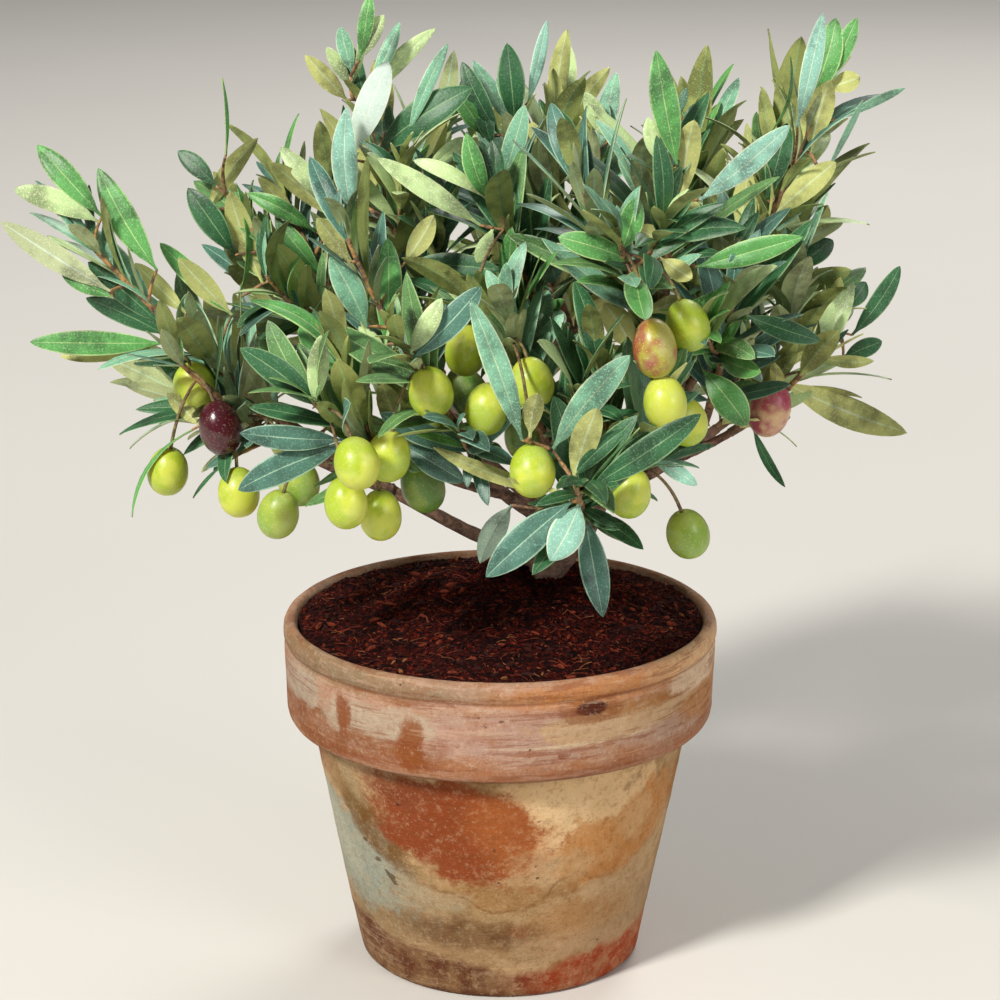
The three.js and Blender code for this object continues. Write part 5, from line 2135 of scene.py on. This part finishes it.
@dataclass
class Compost:
    """The compost: a crumbly mound round the trunk, with loose fibres and chips on it."""

    foot: tuple[float, float] = (18, 22)
    edge_height: float = 145
    edge_radius: float = 83
    seat_radius: float = 12
    rise: float = 12
    floor_height: float = 12.4
    floor_radius: float = 52
    rings: int = 110
    sides: int = 300
    fibres: int = 2600
    chips: int = 1500
    litter_seed: int = 90

    def make(self) -> None:
        """Makes the mound, which replaces its solid, and what lies on it."""
        shares = np.linspace(1, -self.seat_radius / (self.edge_radius - self.seat_radius), self.rings)
        angles = np.arange(self.sides) * math.tau / self.sides
        low = [(self.floor_radius, self.floor_height), (self.edge_radius - 0.2, self.edge_height - 4)]
        corners = [(r * math.cos(a), r * math.sin(a), z) for r, z in low for a in angles]
        corners += [self._on_mound(share, angle) for share in shares for angle in angles]
        count = self.rings + len(low)
        faces = [ring_faces(count, self.sides), *end_faces(count, self.sides)]
        buffers = Buffers()
        buffers.add(np.array(corners), faces)
        piece = buffers.piece("compost", [CompostFinish().material()])
        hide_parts("soil")
        self._litter()

    def _on_mound(self, share: float, angle: float) -> tuple[float, float, float]:
        """A point on the mound.

        Args:
            share: 1 at the pot's wall and 0 round the trunk's seat.
            angle: the angle round the pot.

        Returns:
            The point.
        """
        radius = max(0.4, blend(self.seat_radius, self.edge_radius, share))
        inward = 1 - max(0.0, share)
        x = radius * math.cos(angle) + self.foot[0] * inward
        y = radius * math.sin(angle) + self.foot[1] * inward
        return (x, y, self._height(x, y, max(0.0, share)))

    def _height(self, x: float, y: float, share: float) -> float:
        """The height of the crumbly surface.

        Args:
            x: the place across.
            y: the place in depth.
            share: 1 at the pot's wall and 0 round the trunk's seat.

        Returns:
            The height there.
        """
        smooth = self.edge_height + self.rise * (0.5 + 0.5 * math.cos(math.pi * share))
        place = Vector((x, y, 0))
        clods = noise.fractal(place * 0.11, 0.8, 2.1, 3) * 1.9
        crumbs = noise.fractal(place * 0.33, 0.7, 2.2, 3) * 1.7
        return smooth + (clods + crumbs) * (1 - 0.5 * share) - 0.3

    def _spot(self, chance: Stream) -> Vector:
        """A spot on the mound by chance."""
        share = 0.985 * math.sqrt(0.02 + 0.98 * chance())
        return Vector(self._on_mound(share, chance() * math.tau))

    def _litter(self) -> None:
        """Strews fibres and chips over the mound."""
        materials = [
            FibreFinish("fibre_rust", 0x78301A).material(),
            FibreFinish("fibre_dark", 0x340E08).material(),
            FibreFinish("fibre_straw", 0x8E5630).material(),
        ]
        buffers = Buffers()
        chance = Stream(self.litter_seed)
        for _ in range(self.fibres):
            spot, turn = self._spot(chance), chance() * math.tau
            long = 1.6 + 6.5 * chance() ** 3
            along = Vector((math.cos(turn), math.sin(turn), chance.scatter(0.7)))
            side = Vector((-along.y, along.x, 0)) * chance.scatter(long * 0.6)
            ends = [self._inside(spot + along * (k * long / 2) + side * (k * k)) for k in (-1, 0, 1)]
            line = Curve(ends[0], ends[1] + UP * (0.9 * chance()), ends[2])
            slot = self._pick(chance(), (0.44, 0.93))
            thick = 0.1 + 0.13 * chance()
            buffers.add(*tube(line.points(0, 1, 5), np.full(5, thick), 4), slot)
        for _ in range(self.chips):
            spot, turn = self._spot(chance), chance() * math.tau
            size = 0.5 + 1.9 * chance() ** 4
            along = Vector((math.cos(turn), math.sin(turn), chance.scatter(0.8))) * size
            path = np.array([spot - along, spot - along * 0.5, spot + along * 0.4, spot + along])
            path += (0, 0, 0.5)
            widths = np.array((0.15, 0.45, 0.4, 0.1)) * size
            buffers.add(*tube(path, widths, 5), self._pick(chance(), (0.3, 0.96)))
        piece = buffers.piece("compost_litter", materials, 40)

    def _inside(self, point: Vector) -> Vector:
        """A point moved in from the pot's wall if it is too near."""
        shrink = min(1.0, (self.edge_radius - 1) / max(math.hypot(point.x, point.y), 1.0))
        return Vector((point.x * shrink, point.y * shrink, point.z))

    @staticmethod
    def _pick(draw: float, limits: tuple[float, float]) -> int:
        """The slot that a draw falls in."""
        return sum(draw > limit for limit in limits)


# The studio


@dataclass(frozen=True)
class Lamp:
    """A soft lamp aimed at the crown: its place and width in metres, and its power in watts."""

    name: str
    place: tuple[float, float, float]
    width: float
    power: float
    colour: tuple[float, float, float]
    target: tuple[float, float, float] = (0, 0, 0.2)

    def make(self) -> None:
        """Makes the lamp."""
        light = bpy.data.lights.new(self.name, "AREA")
        light.size = self.width
        light.energy = self.power
        light.color = self.colour
        made = bpy.data.objects.new(self.name, light)
        made.location = self.place
        way = Vector(self.target) - Vector(self.place)
        made.rotation_euler = way.to_track_quat("-Z", "Y").to_euler()
        bpy.context.scene.collection.objects.link(made)


@dataclass(frozen=True)
class Studio:
    """The floor, the soft lights and the camera, in metres, and the camera's sensor in
    millimetres."""

    sensor: float = 36
    floor_half: float = 30
    sky: Colour = (0.97, 0.98, 1.0, 1)
    sky_strength: float = 0.22
    lamps: tuple[Lamp, ...] = (
        Lamp("key", (-1.7, -2.1, 2.45), 0.5, 142, (1.0, 0.97, 0.9)),
        Lamp("fill", (2.2, -2.2, 1.5), 1.4, 32, (0.99, 0.98, 0.97)),
        Lamp("back", (1.0, 2.4, 2.4), 1.2, 52, (1.0, 0.98, 0.94)),
    )

    def make(self) -> None:
        """Sets up the studio."""
        self._floor()
        self._camera()
        for lamp in self.lamps:
            lamp.make()
        world = bpy.data.worlds.new("studio")
        world.use_nodes = True
        background = world.node_tree.nodes["Background"]
        background.inputs["Color"].default_value = self.sky
        background.inputs["Strength"].default_value = self.sky_strength
        bpy.context.scene.view_settings.view_transform = "Standard"
        bpy.context.scene.world = world

    def _floor(self) -> None:
        """Makes the plain pale floor."""
        mesh = bpy.data.meshes.new("floor")
        half = self.floor_half
        square = [(-half, -half, 0), (half, -half, 0), (half, half, 0), (-half, half, 0)]
        mesh.from_pydata(square, [], [(0, 1, 2, 3)])
        floor = bpy.data.objects.new("floor", mesh)
        bpy.context.scene.collection.objects.link(floor)
        book = Book("floor")
        grain = book.noise(3, 2)
        tint = book.mix(grain, paint(0xD2CFC9), paint(0xD7D4CF))
        mesh.materials.append(book.finish(tint, 0.9))

    def _camera(self) -> None:
        """Makes the camera where the photograph was taken from."""
        lens = bpy.data.cameras.new("camera")
        lens.sensor_width = self.sensor
        lens.lens = self.sensor * VIEW.focal / (2 * VIEW.middle)
        camera = bpy.data.objects.new("camera", lens)
        camera.location = VIEW.eye * MM
        camera.rotation_euler = (math.radians(90 - VIEW.pitch), 0, 0)
        bpy.context.scene.collection.objects.link(camera)
        bpy.context.scene.camera = camera


def main() -> None:
    """Builds the sub-assemblies in order."""
    logging.basicConfig(level=logging.INFO, format="%(name)s %(message)s")
    Studio().make()
    Pot().make()
    Compost().make()
    growth = Growth()
    wood = Wood(growth)
    growth.lay_lines(wood.trunk_line())
    growth.settle(wood.trunk_line())
    growth.grow()
    wood.make()
    Foliage(growth).make()
    Fruit(growth).make()
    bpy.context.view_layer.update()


if __name__ == "__main__":
    main()
